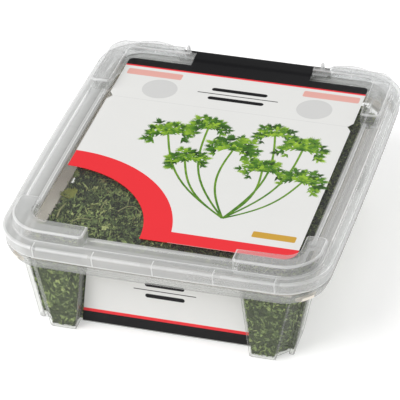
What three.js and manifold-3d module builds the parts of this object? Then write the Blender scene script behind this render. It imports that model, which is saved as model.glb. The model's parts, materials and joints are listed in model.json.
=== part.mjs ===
// Lidded food tub filled with dried parsley flakes, in millimetres.
// +Z is up and +Y is the side where the lid lifts. The origin is on the table, under the middle of the lid.
import * as THREE from "three";
import { mergeVertices } from "three/addons/utils/BufferGeometryUtils.js";
import Module from "manifold-3d";

const wasm = await Module();
wasm.setup();

// Lid rim: half width, half length and corner radius at its widest line
const LID_HALF_X = 50;
const LID_HALF_Y = 60.6;
const LID_CORNER = 14;
const LEAST_CORNER = 1.5;
const LID_BOW = 0.7; // how far the middle of each side stands out past its corners
const CORNER_STEPS = 6;

// Heights above the table
const TUB_FLOOR = 0.9;
const LIP_BOTTOM = 24.1;
const STEP_TOP = 25.2;
const FLANGE_TOP = 27.9;
const SKIRT_BOTTOM = 28.2;
const UPSTAND_TOP = 31.3;
const PANEL_UNDER = 31.7;
const WEB_TOP = 32.2; // of the gussets and of the walls round the cut-back rim
const PANEL_TOP = 32.6;
const BEAD_TOP = 33.0;
const RIDGE_TOP = 36.2;

const WALL = 0.8;
const GAP = 0.3;
const CUT = 1; // how far a cutting solid reaches past what it cuts

// Distances in from the lid's widest line
const UPSTAND_OUT = 5.0;
const UPSTAND_IN = 5.8;
const PLUG_OUT = 6.2;
const PLUG_IN = 7.0;

// Profiles round the rim: each point is a distance in from the lid's widest line and a height
const UPSTAND_PROFILE = [
  [UPSTAND_OUT + 0.6, STEP_TOP - WALL],
  [UPSTAND_OUT, STEP_TOP],
  [UPSTAND_OUT, UPSTAND_TOP],
];
const FLANGE_PROFILE = [
  [2.1, LIP_BOTTOM],
  [1.75, 25.0],
  [1.75, 25.5],
  [1.35, 25.8],
  [1.2, 26.3],
  [0.9, 26.6],
  [0.75, 27.6],
  [1.0, FLANGE_TOP],
];
const UNDER_FLANGE_PROFILE = [
  [3.0, LIP_BOTTOM - CUT],
  [2.9, STEP_TOP],
  [1.9, FLANGE_TOP - 0.9],
];
const LID_PROFILE = [
  [0.75, SKIRT_BOTTOM],
  [0.0, 31.6],
  [0.1, 32.0],
  [0.5, 32.35],
  [2.7, 32.45],
  [3.0, 32.75],
  [3.4, 32.75],
  [3.9, 32.45],
  [7.0, PANEL_TOP],
  [7.4, BEAD_TOP],
  [8.2, BEAD_TOP],
  [8.6, PANEL_TOP],
];
const LID_HOLLOW_PROFILE = [
  [1.65, SKIRT_BOTTOM - CUT],
  [1.6, SKIRT_BOTTOM],
  [0.95, 31.3],
  [1.5, PANEL_UNDER],
];
const PLUG_PROFILE = [
  [PLUG_OUT + 0.2, 29.6],
  [PLUG_OUT, 30.4],
  [PLUG_OUT, PANEL_TOP - 0.2],
];

// Stacking ridges: distances in from the rim, then where each leg ends, from the middle of the lid
const RIDGE_OUT = 3.2;
const RIDGE_IN = 9.6;
const RIDGE_WALL = 1.1;
const RIDGE_BEVEL = 0.65;
const RIDGE_END_CUT = 1.6;
const FRONT_RIDGE = { endX: 22.4, endY: 40, innerRadius: 4 };
const BACK_RIDGE = { endX: 20.2, endY: 28, footY: 50.3, innerRadius: 2.5, outerRadius: 7, outerY: 48 };
const SIDE_LEG_ROOM = { x: 43.4, half: 1.9, back: 48.5 };

// Thumb holds behind the back ridges, with a peg and a round swelling beside each
const HOLD = {
  x: 32.6,
  y: 44.4,
  radius: 11.4,
  from: 137,
  to: 60,
  wall: 1.6,
  top: 51.7,
  step: 0.4,
  web: 0.8,
};
const HOLD_FLOOR = PANEL_TOP + 1.2;
const PEG = { x: 22.1, y: 55.6, low: 31.6, high: 35.8, topRadius: 0.45, footRadius: 0.8 };
const SWELLING = { x: 44.6, y: 30.4, z: 33.9, radius: 2.3 };

// Gussets inside the front rim: distances in from its outer line
const GUSSET = { pitch: 18, shift: -0.5, outer: 1.2, inner: 4.4, low: 28.7 };

// The back rim is cut away between the thumb holds, to make room for the seal.
const NOTCH = { half: 24.6, y: 56.8, wallLow: 28.4, endInset: 1.2 };

// The tub's walls: outline values at the floor and under the lip
const AT_FLOOR = {
  panelY: 49.2,
  postY: 53.9,
  postIn: 26.4,
  postOut: 34.3,
  panelX: 36.0,
  sideX: 38.9,
  sideY: 50.0,
  sideLength: 12,
};
const AT_LIP = {
  panelY: 49.7,
  postY: 54.4,
  postIn: 23.7,
  postOut: 39.1,
  panelX: 40.6,
  sideX: 43.5,
  sideY: 50.6,
  sideLength: 14,
};
const CORNER_CUT = { x: 2.9, y: 2.0, notch: 1.2 };
const TUB_BEVEL = 0.7;

// The sheet on the lid: its edges, the radius of its window, its notches and its corners
const SHEET = 0.3;
const SHEET_LOW = PANEL_TOP + 0.2;
const LABEL = {
  left: -39.6,
  right: 38.6,
  front: -48.8,
  back: 48.4,
  window: 32,
  corner: 4.5,
  backCorner: 1.5,
};
const LABEL_NOTCH = { y: 24.7, half: 2.2, depth: 1.4 };

// The seal's underside in Y and Z: first over the rim, then down the back to the tub's flange
const SEAL_HALF = 19.4;
const SEAL_FOOT_HALF = 24;
const SEAL_RISE = BEAD_TOP + 0.2;
const OVER_RIM = [
  [47.8, SHEET_LOW],
  [50.6, SHEET_LOW],
  [51.5, SEAL_RISE],
  [54.8, SEAL_RISE],
  [56.2, SEAL_RISE - 0.05],
];
const SEAL_FOOT = [
  [56.8, 33.05],
  [57.4, 32.4],
  [57.8, 31.4],
  [60.1, 28.0],
  [60.15, 27.0],
  [59.5, 25.4],
  [59.1, 24.4],
];

// The sheet on the tub's front panel
const FRONT_SHEET = { low: 0.9, high: 23.7, edgeGap: 0.5 };

// The loose heap: the height of its top, its lumps and its fall towards the back
const HEAP = { top: 25.4, lump: 0.6, ripple: 0.4, fall: 0.1, fallFrom: 22, fallWave: 2 };
const HEAP_WAVES = { lumpX: 0.55, lumpY: 0.48, lumpShift: 1.3, rippleX: 0.4, rippleY: 0.9, fallX: 0.3 };
const HEAP_STEPS_X = 15;
const HEAP_STEPS_Y = 18;
const CORE_CLEAR = 1.1; // how far the packed heap stands off the tub's wall
const FLAKE_CLEAR = 0.35;

// Flakes that stand out of the heap
const FLAKE_SEED = 20261;
const FLAKE_HALF = 0.35; // half a flake's thickness
const TOP_FLAKES = {
  count: 130,
  halfX: 38,
  halfY: 47.5,
  tilt: 0.7,
  lift: 0.2,
  length: [3.2, 5],
  width: [2.2, 3.4],
};
const POST_FLAKES = {
  count: 11, // in each post
  low: 4,
  high: 21,
  inset: 3.2,
  depth: 1.15,
  length: [2.4, 3.6],
  width: [1.8, 2.6],
};

// A closed geometry as a solid that can be joined and cut.
function toSolid(geometry) {
  const bare = geometry.clone();
  bare.deleteAttribute("normal");
  bare.deleteAttribute("uv");
  const merged = mergeVertices(bare, 1e-4);
  const triVerts = new Uint32Array(merged.index.array);
  const vertProperties = new Float32Array(merged.attributes.position.array);
  return new wasm.Manifold(new wasm.Mesh({ numProp: 3, vertProperties, triVerts }));
}

function toGeometry(solid) {
  const data = solid.getMesh();
  const geometry = new THREE.BufferGeometry();
  geometry.setAttribute("position", new THREE.BufferAttribute(data.vertProperties.slice(), 3));
  geometry.setIndex(new THREE.BufferAttribute(data.triVerts.slice(), 1));
  geometry.computeVertexNormals();
  return geometry;
}

function joined(solids) {
  return solids.reduce((all, next) => all.add(next));
}

// Drops the pockets closed off between flakes, and any flake that touches nothing.
function largestBody(solid) {
  return solid.decompose().reduce((largest, next) => (next.volume() > largest.volume() ? next : largest));
}

function fromFaces(positions, index) {
  const geometry = new THREE.BufferGeometry();
  geometry.setAttribute("position", new THREE.Float32BufferAttribute(positions, 3));
  geometry.setIndex(index);
  return geometry;
}

// Skins a stack of outlines that all have the same number of points, and closes both ends.
function loft(rings) {
  const count = rings[0].length;
  const positions = rings.flat().flatMap((p) => [p.x, p.y, p.z]);
  const index = [];
  for (let r = 0; r + 1 < rings.length; r++) {
    for (let i = 0; i < count; i++) {
      const a = r * count + i;
      const b = r * count + ((i + 1) % count);
      index.push(a, b, b + count, a, b + count, a + count);
    }
  }
  const cap = (ring, first, flip) => {
    const flat = ring.map((p) => new THREE.Vector2(p.x, p.y));
    for (const [a, b, c] of THREE.ShapeUtils.triangulateShape(flat, [])) {
      index.push(first + a, first + (flip ? c : b), first + (flip ? b : c));
    }
  };
  cap(rings[0], 0, true);
  cap(rings[rings.length - 1], (rings.length - 1) * count, false);
  return toSolid(fromFaces(positions, index));
}

// An upright prism from plan points, bevelled at its top edge when a bevel is given.
function prism(points, low, high, bevel = 0) {
  const shape = new THREE.Shape(points.map(([x, y]) => new THREE.Vector2(x, y)));
  const geometry = new THREE.ExtrudeGeometry(shape, {
    depth: high - low - 2 * bevel,
    bevelEnabled: bevel > 0,
    bevelThickness: bevel,
    bevelSize: bevel,
    bevelOffset: -bevel,
    bevelSegments: 2,
  });
  geometry.translate(0, 0, low + bevel);
  return toSolid(geometry);
}

function block([x0, x1], [y0, y1], [z0, z1]) {
  const geometry = new THREE.BoxGeometry(x1 - x0, y1 - y0, z1 - z0);
  geometry.translate((x0 + x1) / 2, (y0 + y1) / 2, (z0 + z1) / 2);
  return toSolid(geometry);
}

function arc(x, y, radius, from, to, steps) {
  return Array.from({ length: steps + 1 }, (_, k) => {
    const angle = THREE.MathUtils.degToRad(from + ((to - from) * k) / steps);
    return [x + radius * Math.cos(angle), y + radius * Math.sin(angle)];
  });
}

// Moves every side of a closed outline inwards by the same distance.
function offsetPlan(plan, distance) {
  const normal = (k) => {
    const [x0, y0] = plan[(k + plan.length) % plan.length];
    const [x1, y1] = plan[(k + 1) % plan.length];
    const length = Math.hypot(x1 - x0, y1 - y0);
    return [(y0 - y1) / length, (x1 - x0) / length];
  };
  return plan.map(([x, y], k) => {
    const [ax, ay] = normal(k - 1);
    const [bx, by] = normal(k);
    const reach = distance / (1 + ax * bx + ay * by);
    return [x + (ax + bx) * reach, y + (ay + by) * reach];
  });
}

// Pulls the corners of the lid in a little, so that its sides are gently bowed.
function bowed(x, y) {
  const u = x / LID_HALF_X;
  const v = y / LID_HALF_Y;
  return [x * (1 - (LID_BOW / LID_HALF_X) * v * v), y * (1 - (LID_BOW / LID_HALF_Y) * u * u)];
}

// A rounded rectangle at one height, a given distance in from the lid's widest line.
function rimRing(inset, z) {
  const halfX = LID_HALF_X - inset;
  const halfY = LID_HALF_Y - inset;
  const radius = Math.max(LID_CORNER - inset, LEAST_CORNER);
  const corners = [
    [1, -1, -90],
    [1, 1, 0],
    [-1, 1, 90],
    [-1, -1, 180],
  ];
  const points = corners.flatMap(([sx, sy, start]) => {
    const middleX = sx * (halfX - radius);
    const middleY = sy * (halfY - radius);
    const followsX = sx === sy; // the straight side after this corner runs along X
    const along = (t) => (followsX ? [-t * middleX, sy * halfY] : [sx * halfX, -t * middleY]);
    const side = [-0.5, 0, 0.5].map(along);
    return [...arc(middleX, middleY, radius, start, start + 90, CORNER_STEPS), ...side];
  });
  return points.map(([x, y]) => new THREE.Vector3(...bowed(x, y), z));
}

function rimLoft(profile) {
  return loft(profile.map(([inset, z]) => rimRing(inset, z)));
}

// One of the tub's outline values at a height.
function wallValue(key, z) {
  return THREE.MathUtils.lerp(AT_FLOOR[key], AT_LIP[key], z / LIP_BOTTOM);
}

// The tub's outline at one height: on each side a flat panel between two posts, with cut corners.
function tubPlan(z, notched) {
  const at = (key) => wallValue(key, z);
  const cutX = at("postOut") + CORNER_CUT.x;
  const cutY = at("sideY") - CORNER_CUT.notch;
  const quarter = [
    [at("panelX"), 0],
    [at("panelX"), at("sideY") - at("sideLength")],
    [at("sideX"), at("sideY") - at("sideLength")],
    [at("sideX"), notched ? at("sideY") : cutY],
    ...(notched ? [[cutX, at("sideY")]] : []),
    [cutX, cutY],
    [at("postOut"), at("postY") - CORNER_CUT.y],
    [at("postOut"), at("postY")],
    [at("postIn"), at("postY")],
    [at("postIn"), at("panelY")],
  ];
  const mirrored = quarter.slice(1).reverse();
  const half = [...quarter, ...mirrored.map(([x, y]) => [-x, y]), [-at("panelX"), 0]];
  const front = half.slice(1, -1).reverse();
  return [...half, ...front.map(([x, y]) => [x, -y])];
}

function tubRing(z, inset, notched = false) {
  return offsetPlan(tubPlan(z, notched), inset).map(([x, y]) => new THREE.Vector3(x, y, z));
}

function makeTub() {
  const body = loft([tubRing(0, TUB_BEVEL, true), tubRing(TUB_BEVEL, 0, true), tubRing(STEP_TOP, 0, true)]);
  const cavity = loft([
    tubRing(TUB_FLOOR, WALL + TUB_BEVEL),
    tubRing(TUB_FLOOR + TUB_BEVEL, WALL),
    tubRing(STEP_TOP + CUT, WALL),
  ]);
  const upperRoom = rimLoft([[UPSTAND_IN, STEP_TOP], [UPSTAND_IN, UPSTAND_TOP + CUT]]);
  // The flange turns down into a lip with one shallow groove round it.
  const flange = rimLoft(FLANGE_PROFILE).subtract(rimLoft(UNDER_FLANGE_PROFILE));
  const outside = joined([body, rimLoft(UPSTAND_PROFILE), flange]);
  return outside.subtract(cavity).subtract(upperRoom);
}

// A ridge outline moved to one corner of the lid. The signs pick the corner.
function atCorner(outline, sx, sy) {
  return outline.map(([x, y]) => bowed(sx * x, sy * y));
}

// Front ridge: both legs follow the rim. A wall thickness gives the outline of the room inside it.
function frontRidge(wall) {
  const outX = LID_HALF_X - RIDGE_OUT - wall;
  const outY = LID_HALF_Y - RIDGE_OUT - wall;
  const inX = LID_HALF_X - RIDGE_IN + wall;
  const inY = LID_HALF_Y - RIDGE_IN + wall;
  const outerRadius = LID_CORNER - RIDGE_OUT - wall;
  const innerRadius = FRONT_RIDGE.innerRadius + wall;
  return [
    [FRONT_RIDGE.endX + wall, inY],
    [FRONT_RIDGE.endX + wall, outY],
    ...arc(outX - outerRadius, outY - outerRadius, outerRadius, 90, 0, 5),
    [outX, FRONT_RIDGE.endY + RIDGE_END_CUT],
    [outX - RIDGE_END_CUT, FRONT_RIDGE.endY + wall],
    [inX, FRONT_RIDGE.endY + wall],
    ...arc(inX - innerRadius, inY - innerRadius, innerRadius, 0, 90, 3),
  ];
}

// Back ridge: a thin wall along the label, a thumb hold with an arched edge behind it, and a long side leg.
function backRidge() {
  const outX = LID_HALF_X - RIDGE_OUT;
  const inX = LID_HALF_X - RIDGE_IN;
  const { endX, endY, footY, innerRadius, outerRadius, outerY } = BACK_RIDGE;
  return [
    [endX, footY],
    [endX, HOLD.top + HOLD.step],
    ...arc(HOLD.x, HOLD.y, HOLD.radius, HOLD.from, HOLD.to, 7),
    ...arc(outX - outerRadius, outerY, outerRadius, HOLD.to, 0, 3),
    [outX, endY + RIDGE_END_CUT],
    [outX - RIDGE_END_CUT, endY],
    [inX, endY],
    ...arc(inX - innerRadius, footY - innerRadius, innerRadius, 0, 90, 3),
  ];
}

// The recess in the top of a thumb hold, split in two by a web.
function holdPockets(sx) {
  const reach = HOLD.radius - HOLD.wall;
  const start = THREE.MathUtils.radToDeg(Math.asin((HOLD.top - HOLD.y) / reach));
  const middle = THREE.MathUtils.radToDeg(Math.acos(HOLD.web / 2 / reach));
  const edge = arc(HOLD.x, HOLD.y, reach, start, middle, 4);
  return [-1, 1].map((side) => {
    const foot = [HOLD.x + (side * HOLD.web) / 2, HOLD.top];
    const plan = [foot, ...edge.map(([x, y]) => [HOLD.x + side * (x - HOLD.x), y])];
    return prism(atCorner(plan, sx, 1), HOLD_FLOOR, RIDGE_TOP + CUT);
  });
}

function makePeg(sx) {
  const peg = new THREE.CylinderGeometry(PEG.topRadius, PEG.footRadius, PEG.high - PEG.low, 8);
  peg.rotateX(Math.PI / 2);
  peg.translate(sx * PEG.x, PEG.y, (PEG.low + PEG.high) / 2);
  return toSolid(peg);
}

function makeSwelling(sx) {
  const swelling = new THREE.SphereGeometry(SWELLING.radius, 12, 8);
  swelling.translate(sx * SWELLING.x, SWELLING.y, SWELLING.z);
  return toSolid(swelling);
}

// The four ridges with their thumb holds, pegs and swellings, from the underside of the panel upwards.
function makeRidges() {
  const foot = PANEL_UNDER - 3 * RIDGE_BEVEL;
  const solids = [-1, 1].flatMap((sx) => [
    prism(atCorner(frontRidge(0), sx, -1), foot, RIDGE_TOP, RIDGE_BEVEL),
    prism(atCorner(backRidge(), sx, 1), foot, RIDGE_TOP, RIDGE_BEVEL),
    makePeg(sx),
    makeSwelling(sx),
  ]);
  const reachX = [-LID_HALF_X, LID_HALF_X];
  const reachY = [-LID_HALF_Y, LID_HALF_Y];
  const below = block(reachX, reachY, [foot - CUT, PANEL_UNDER]);
  return joined(solids).subtract(below);
}

// The rooms inside the ridges, open from below, and the recesses in the thumb holds.
function makeRidgeRooms() {
  const low = SKIRT_BOTTOM + 0.5;
  const { x, half, back } = SIDE_LEG_ROOM;
  return [-1, 1].flatMap((sx) => [
    prism(atCorner(frontRidge(RIDGE_WALL), sx, -1), low, RIDGE_TOP - 1),
    block([sx * x - half, sx * x + half], [BACK_RIDGE.endY + RIDGE_WALL, back], [low, RIDGE_TOP - 1]),
    ...holdPockets(sx),
  ]);
}

// Five thin plates stiffen the front rim and show through it as upright lines.
function makeGussets() {
  return [-2, -1, 0, 1, 2].map((k) => {
    const x = k * GUSSET.pitch + GUSSET.shift;
    const [, front] = bowed(x, -LID_HALF_Y);
    const depth = [front + GUSSET.outer, front + GUSSET.inner];
    return block([x - WALL / 2, x + WALL / 2], depth, [GUSSET.low, WEB_TOP]);
  });
}

function makeLid() {
  const skin = rimLoft(LID_PROFILE).subtract(rimLoft(LID_HOLLOW_PROFILE));
  const plug = rimLoft(PLUG_PROFILE).subtract(rimLoft([[PLUG_IN, SKIRT_BOTTOM], [PLUG_IN, PANEL_UNDER]]));
  const { half, y, wallLow, endInset } = NOTCH;
  const upright = [wallLow, WEB_TOP];
  const notch = block([-half, half], [y, LID_HALF_Y + CUT], [SKIRT_BOTTOM - CUT, PANEL_TOP + CUT]);
  const notchWall = block([-half - WALL / 2, half + WALL / 2], [y - WALL, y], upright);
  const notchEnds = [
    block([-half - WALL, -half], [y - WALL, LID_HALF_Y - endInset], upright),
    block([half, half + WALL], [y - WALL, LID_HALF_Y - endInset], upright),
  ];
  const rim = joined([skin, plug, ...makeGussets(), ...notchEnds]).subtract(notch).add(notchWall);
  return rim.add(makeRidges()).subtract(joined(makeRidgeRooms()));
}

// A bent strip of the sheet, from its underside in Y and Z.
function makeStrip(points, half) {
  const outer = points.map(([y, z], k) => {
    const [beforeY, beforeZ] = points[Math.max(k - 1, 0)];
    const [afterY, afterZ] = points[Math.min(k + 1, points.length - 1)];
    const length = Math.hypot(afterY - beforeY, afterZ - beforeZ);
    return [y - ((afterZ - beforeZ) / length) * SHEET, z + ((afterY - beforeY) / length) * SHEET];
  });
  const shape = new THREE.Shape([...points, ...outer.reverse()].map(([y, z]) => new THREE.Vector2(y, z)));
  const geometry = new THREE.ExtrudeGeometry(shape, { depth: 2 * half, bevelEnabled: false });
  geometry.rotateX(Math.PI / 2);
  geometry.rotateZ(Math.PI / 2);
  geometry.translate(-half, 0, 0);
  return toSolid(geometry);
}

// The printed sheet on the panel has a round window cut out of its front left corner. Its back runs over
// the rim as a seal, and bonds to the tub's flange.
function makeLidLabel() {
  const { left, right, front, back, window, corner, backCorner } = LABEL;
  const { y, half, depth } = LABEL_NOTCH;
  const plan = [
    [left, front + window],
    ...arc(left, front, window, 90, 0, 16).slice(1),
    [right - corner, front],
    ...arc(right - corner, front + corner, corner, -90, 0, 4).slice(1),
    [right, y - half],
    [right - depth, y],
    [right, y + half],
    ...arc(right - backCorner, back - backCorner, backCorner, 0, 90, 2),
    ...arc(left + backCorner, back - backCorner, backCorner, 90, 180, 2),
    [left, y + half],
    [left + depth, y],
    [left, y - half],
  ];
  const sheet = prism(plan, SHEET_LOW, SHEET_LOW + SHEET);
  const tongue = makeStrip([...OVER_RIM, ...SEAL_FOOT], SEAL_HALF);
  return joined([sheet, tongue, makeStrip(SEAL_FOOT, SEAL_FOOT_HALF)]);
}

// The front sheet fills the flat panel between the two front posts, and leans with it.
function makeFrontLabel() {
  const { low, high, edgeGap } = FRONT_SHEET;
  const lowHalf = wallValue("postIn", low) - edgeGap;
  const highHalf = wallValue("postIn", high) - edgeGap;
  const shape = new THREE.Shape([
    new THREE.Vector2(-lowHalf, low),
    new THREE.Vector2(lowHalf, low),
    new THREE.Vector2(highHalf, high),
    new THREE.Vector2(-highHalf, high),
  ]);
  const geometry = new THREE.ExtrudeGeometry(shape, { depth: SHEET, bevelEnabled: false });
  geometry.rotateX(Math.PI / 2);
  geometry.translate(0, -AT_FLOOR.panelY - GAP, 0);
  const lean = (AT_LIP.panelY - AT_FLOOR.panelY) / LIP_BOTTOM;
  const position = geometry.attributes.position;
  for (let i = 0; i < position.count; i++) {
    position.setY(i, position.getY(i) - position.getZ(i) * lean);
  }
  return toSolid(geometry);
}

// A repeatable source of numbers from 0 to 1.
function seededRandom(seed) {
  let state = seed;
  return () => {
    state = (state + 0x6d2b79f5) | 0;
    let t = Math.imul(state ^ (state >>> 15), 1 | state);
    t = (t + Math.imul(t ^ (t >>> 7), 61 | t)) ^ t;
    return ((t ^ (t >>> 14)) >>> 0) / 4294967296;
  };
}

// Height of the loose heap: lumpy, and a little lower towards the back.
function heapHeight(x, y) {
  const { lumpX, lumpY, lumpShift, rippleX, rippleY, fallX } = HEAP_WAVES;
  const lump = HEAP.lump * Math.sin(lumpX * x + lumpShift) * Math.cos(lumpY * y);
  const ripple = HEAP.ripple * Math.sin(rippleY * y + rippleX * x);
  const fall = HEAP.fall * Math.max(0, y - HEAP.fallFrom + HEAP.fallWave * Math.sin(fallX * x));
  return HEAP.top + lump + ripple - fall;
}

// One flake: a small plate folded along its length.
function makeFlake(random, length, width) {
  const fold = 0.35 * width * (random() - 0.3);
  const plan = [
    [-length / 2, 0],
    [-0.1 * length, -width / 2],
    [length / 2, 0.2 * width * (random() - 0.5)],
    [0.1 * length, width / 2],
  ];
  const layers = [-FLAKE_HALF, FLAKE_HALF];
  const positions = layers.flatMap((z) => plan.flatMap(([x, y], k) => [x, y, z + (k % 2 ? fold : -fold)]));
  const index = [0, 2, 1, 0, 3, 2, 4, 5, 6, 4, 6, 7];
  for (let i = 0; i < 4; i++) {
    const j = (i + 1) % 4;
    index.push(i, j, j + 4, i, j + 4, i + 4);
  }
  return fromFaces(positions, index);
}

// The heap as a solid with a lumpy top, closed by side walls and a fan of faces on the table.
function heapCore() {
  const halfX = LID_HALF_X - UPSTAND_IN;
  const halfY = LID_HALF_Y - UPSTAND_IN;
  const top = new THREE.PlaneGeometry(2 * halfX, 2 * halfY, HEAP_STEPS_X, HEAP_STEPS_Y);
  const heights = top.attributes.position;
  for (let i = 0; i < heights.count; i++) {
    heights.setZ(i, heapHeight(heights.getX(i), heights.getY(i)));
  }
  const positions = [...heights.array];
  const index = [...top.index.array];
  const row = HEAP_STEPS_X + 1;
  const edge = [];
  for (let i = 0; i < HEAP_STEPS_X; i++) edge.push(i);
  for (let j = 0; j < HEAP_STEPS_Y; j++) edge.push(j * row + HEAP_STEPS_X);
  for (let i = HEAP_STEPS_X; i > 0; i--) edge.push(HEAP_STEPS_Y * row + i);
  for (let j = HEAP_STEPS_Y; j > 0; j--) edge.push(j * row);
  const first = heights.count;
  const middle = first + edge.length;
  edge.forEach((v) => positions.push(heights.getX(v), heights.getY(v), 0));
  positions.push(0, 0, 0);
  edge.forEach((v, k) => {
    const next = (k + 1) % edge.length;
    index.push(v, edge[next], first + next);
    index.push(v, first + next, first + k);
    index.push(first + k, first + next, middle);
  });
  return toSolid(fromFaces(positions, index));
}

// The room between the tub's walls, carried straight up, with a clearance all round it.
function wallRoom(clear) {
  const low = TUB_FLOOR + clear;
  const inset = WALL + clear;
  const bevel = 0.6;
  const top = tubRing(STEP_TOP + clear, inset);
  const raised = top.map((p) => new THREE.Vector3(p.x, p.y, FLANGE_TOP + GAP));
  return loft([tubRing(low, inset + bevel), tubRing(low + bevel, inset), top, raised]);
}

// The whole room under the lid, with the ledge where the tub widens.
function tubRoom(clear) {
  const inset = PLUG_IN + clear;
  const upper = rimLoft([[inset, STEP_TOP + clear - 0.05], [inset, PANEL_UNDER - clear]]);
  return wallRoom(clear).add(upper);
}

// The heap and its flakes, fused into one body that stays inside the tub.
function makeParsley() {
  const random = seededRandom(FLAKE_SEED);
  const spread = (low, high) => low + (high - low) * random();
  const turnAbout = () => spread(0, 2 * Math.PI);
  const flakes = [];
  const place = (geometry, x, y, z, turn) => {
    geometry.applyMatrix4(new THREE.Matrix4().makeRotationFromEuler(turn));
    geometry.translate(x, y, z);
    flakes.push(toSolid(geometry));
  };
  for (let k = 0; k < TOP_FLAKES.count; k++) {
    const { halfX, halfY, tilt, lift, length, width } = TOP_FLAKES;
    const x = spread(-halfX, halfX);
    const y = spread(-halfY, halfY);
    const turn = new THREE.Euler(spread(-tilt, tilt), spread(-tilt, tilt), turnAbout());
    place(makeFlake(random, spread(...length), spread(...width)), x, y, heapHeight(x, y) + lift, turn);
  }
  for (const [sx, sy] of [[-1, -1], [-1, 1], [1, -1], [1, 1]]) {
    for (let k = 0; k < POST_FLAKES.count; k++) {
      const { low, high, inset, depth, length, width } = POST_FLAKES;
      const z = spread(low, high);
      const inner = wallValue("postIn", z) + inset;
      const outer = wallValue("postOut", z) - inset;
      const y = wallValue("postY", z) - WALL - depth;
      const flake = makeFlake(random, spread(...length), spread(...width));
      flake.rotateZ(turnAbout());
      const x = spread(Math.min(inner, outer), Math.max(inner, outer));
      place(flake, sx * x, sy * y, z, new THREE.Euler(Math.PI / 2, 0, 0));
    }
  }
  const core = heapCore().intersect(wallRoom(CORE_CLEAR));
  return largestBody(core.add(wasm.Manifold.union(flakes)).intersect(tubRoom(FLAKE_CLEAR)));
}

// Finishes
const seeThrough = { transparent: true, opacity: 0.45 };
const clearPlastic = new THREE.MeshStandardMaterial({ color: 0xd9dbd9, roughness: 0.15, ...seeThrough });
const frostedPlastic = new THREE.MeshStandardMaterial({ color: 0xd5d8d8, roughness: 0.25, ...seeThrough });
const lidPaper = new THREE.MeshStandardMaterial({ color: 0xe9e9e6, roughness: 0.35 });
const frontPaper = new THREE.MeshStandardMaterial({ color: 0xe9e9e6, roughness: 0.4 });
const driedLeaf = new THREE.MeshStandardMaterial({ color: 0x4c5c33, roughness: 0.85 });

const group = new THREE.Group();

function addPart(name, solid, material) {
  const mesh = new THREE.Mesh(toGeometry(solid), material);
  mesh.name = name;
  group.add(mesh);
}

addPart("tub", makeTub(), clearPlastic);
addPart("lid", makeLid(), frostedPlastic);
addPart("lid_label", makeLidLabel(), lidPaper);
addPart("front_label", makeFrontLabel(), frontPaper);
addPart("parsley_flakes", makeParsley(), driedLeaf);

export default group;
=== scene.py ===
import json
import logging
import math
from collections.abc import Iterable, Iterator, Sequence
from contextlib import contextmanager
from dataclasses import dataclass
from enum import Enum
from random import Random
from typing import Any

import bmesh
import bpy
from bpy.types import Material, Node, NodeSocket, NodeTree
from mathutils import Matrix, Vector, noise
from mathutils.bvhtree import BVHTree

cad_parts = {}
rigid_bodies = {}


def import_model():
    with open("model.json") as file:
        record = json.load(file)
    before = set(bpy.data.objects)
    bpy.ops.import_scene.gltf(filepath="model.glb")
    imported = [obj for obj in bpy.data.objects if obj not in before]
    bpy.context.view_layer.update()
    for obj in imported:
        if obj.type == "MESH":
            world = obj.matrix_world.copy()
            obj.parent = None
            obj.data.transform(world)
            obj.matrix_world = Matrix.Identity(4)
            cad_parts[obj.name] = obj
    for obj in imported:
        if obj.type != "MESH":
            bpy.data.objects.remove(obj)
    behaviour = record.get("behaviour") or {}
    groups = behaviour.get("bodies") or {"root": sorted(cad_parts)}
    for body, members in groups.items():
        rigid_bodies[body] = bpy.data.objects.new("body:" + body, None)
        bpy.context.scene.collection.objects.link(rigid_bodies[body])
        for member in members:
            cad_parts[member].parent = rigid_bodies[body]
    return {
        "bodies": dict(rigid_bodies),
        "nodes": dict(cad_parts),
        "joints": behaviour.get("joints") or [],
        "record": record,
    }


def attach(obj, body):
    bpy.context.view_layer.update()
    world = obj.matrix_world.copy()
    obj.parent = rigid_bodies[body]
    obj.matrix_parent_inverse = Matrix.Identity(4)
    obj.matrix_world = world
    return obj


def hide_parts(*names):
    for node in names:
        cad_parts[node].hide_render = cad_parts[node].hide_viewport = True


log = logging.getLogger("parsley_tub")

MM = 0.001
BODY = "root"
SENSOR = 36.0
SMOOTH_ANGLE = math.radians(32)
# Corners this near to straight, in radians, stay sharp, and a fillet takes this share of a side at most.
STRAIGHT = 0.02
SIDE_SHARE = 0.42
# In metres: doubled points, a print's least corner and soft edge, and the width of a sliver.
MERGE_DISTANCE = 1e-7
LEAST_ROUND = 0.0001
SOFT_EDGE = 0.00006
LEAST_WIDTH = 0.00006
# The bend of a face, in radians per millimetre, that counts as a full edge.
FULL_CURVE = 1.6
SCUFF_ROUGHNESS = 0.05
# In millimetres: the lid's half length for the painted light across it and the drift along it, the fade at a
# thick part, the corners of masks and the gaps between flakes and walls.
DRIFT_HALF = 48.0
THICK_FADE = 0.4
PANEL_ROUND = 6.0
LEDGE_ROUND = 0.3
WALL_GAP = 0.03
TUCK_GAP = 0.01
ORIGIN = (0.0, 0.0, 0.0)
UP = Vector((0.0, 0.0, 1.0))

Pair = tuple[float, float]
Point = tuple[float, float, float]
Plan = list[Pair]
Ring = list[Point]
Colour = tuple[float, float, float]
Piece = bpy.types.Object


class Cut(Enum):
    """How two solids are combined."""

    JOIN = "UNION"
    REMOVE = "DIFFERENCE"
    KEEP = "INTERSECT"


class Slot(Enum):
    """The record's material slots."""

    TUB = "clear_tub"
    LID = "frosted_lid"
    LID_SHEET = "lid_sheet"
    FRONT_SHEET = "front_sheet"
    LEAF = "dried_leaf"


# Plans and meshes


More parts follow.
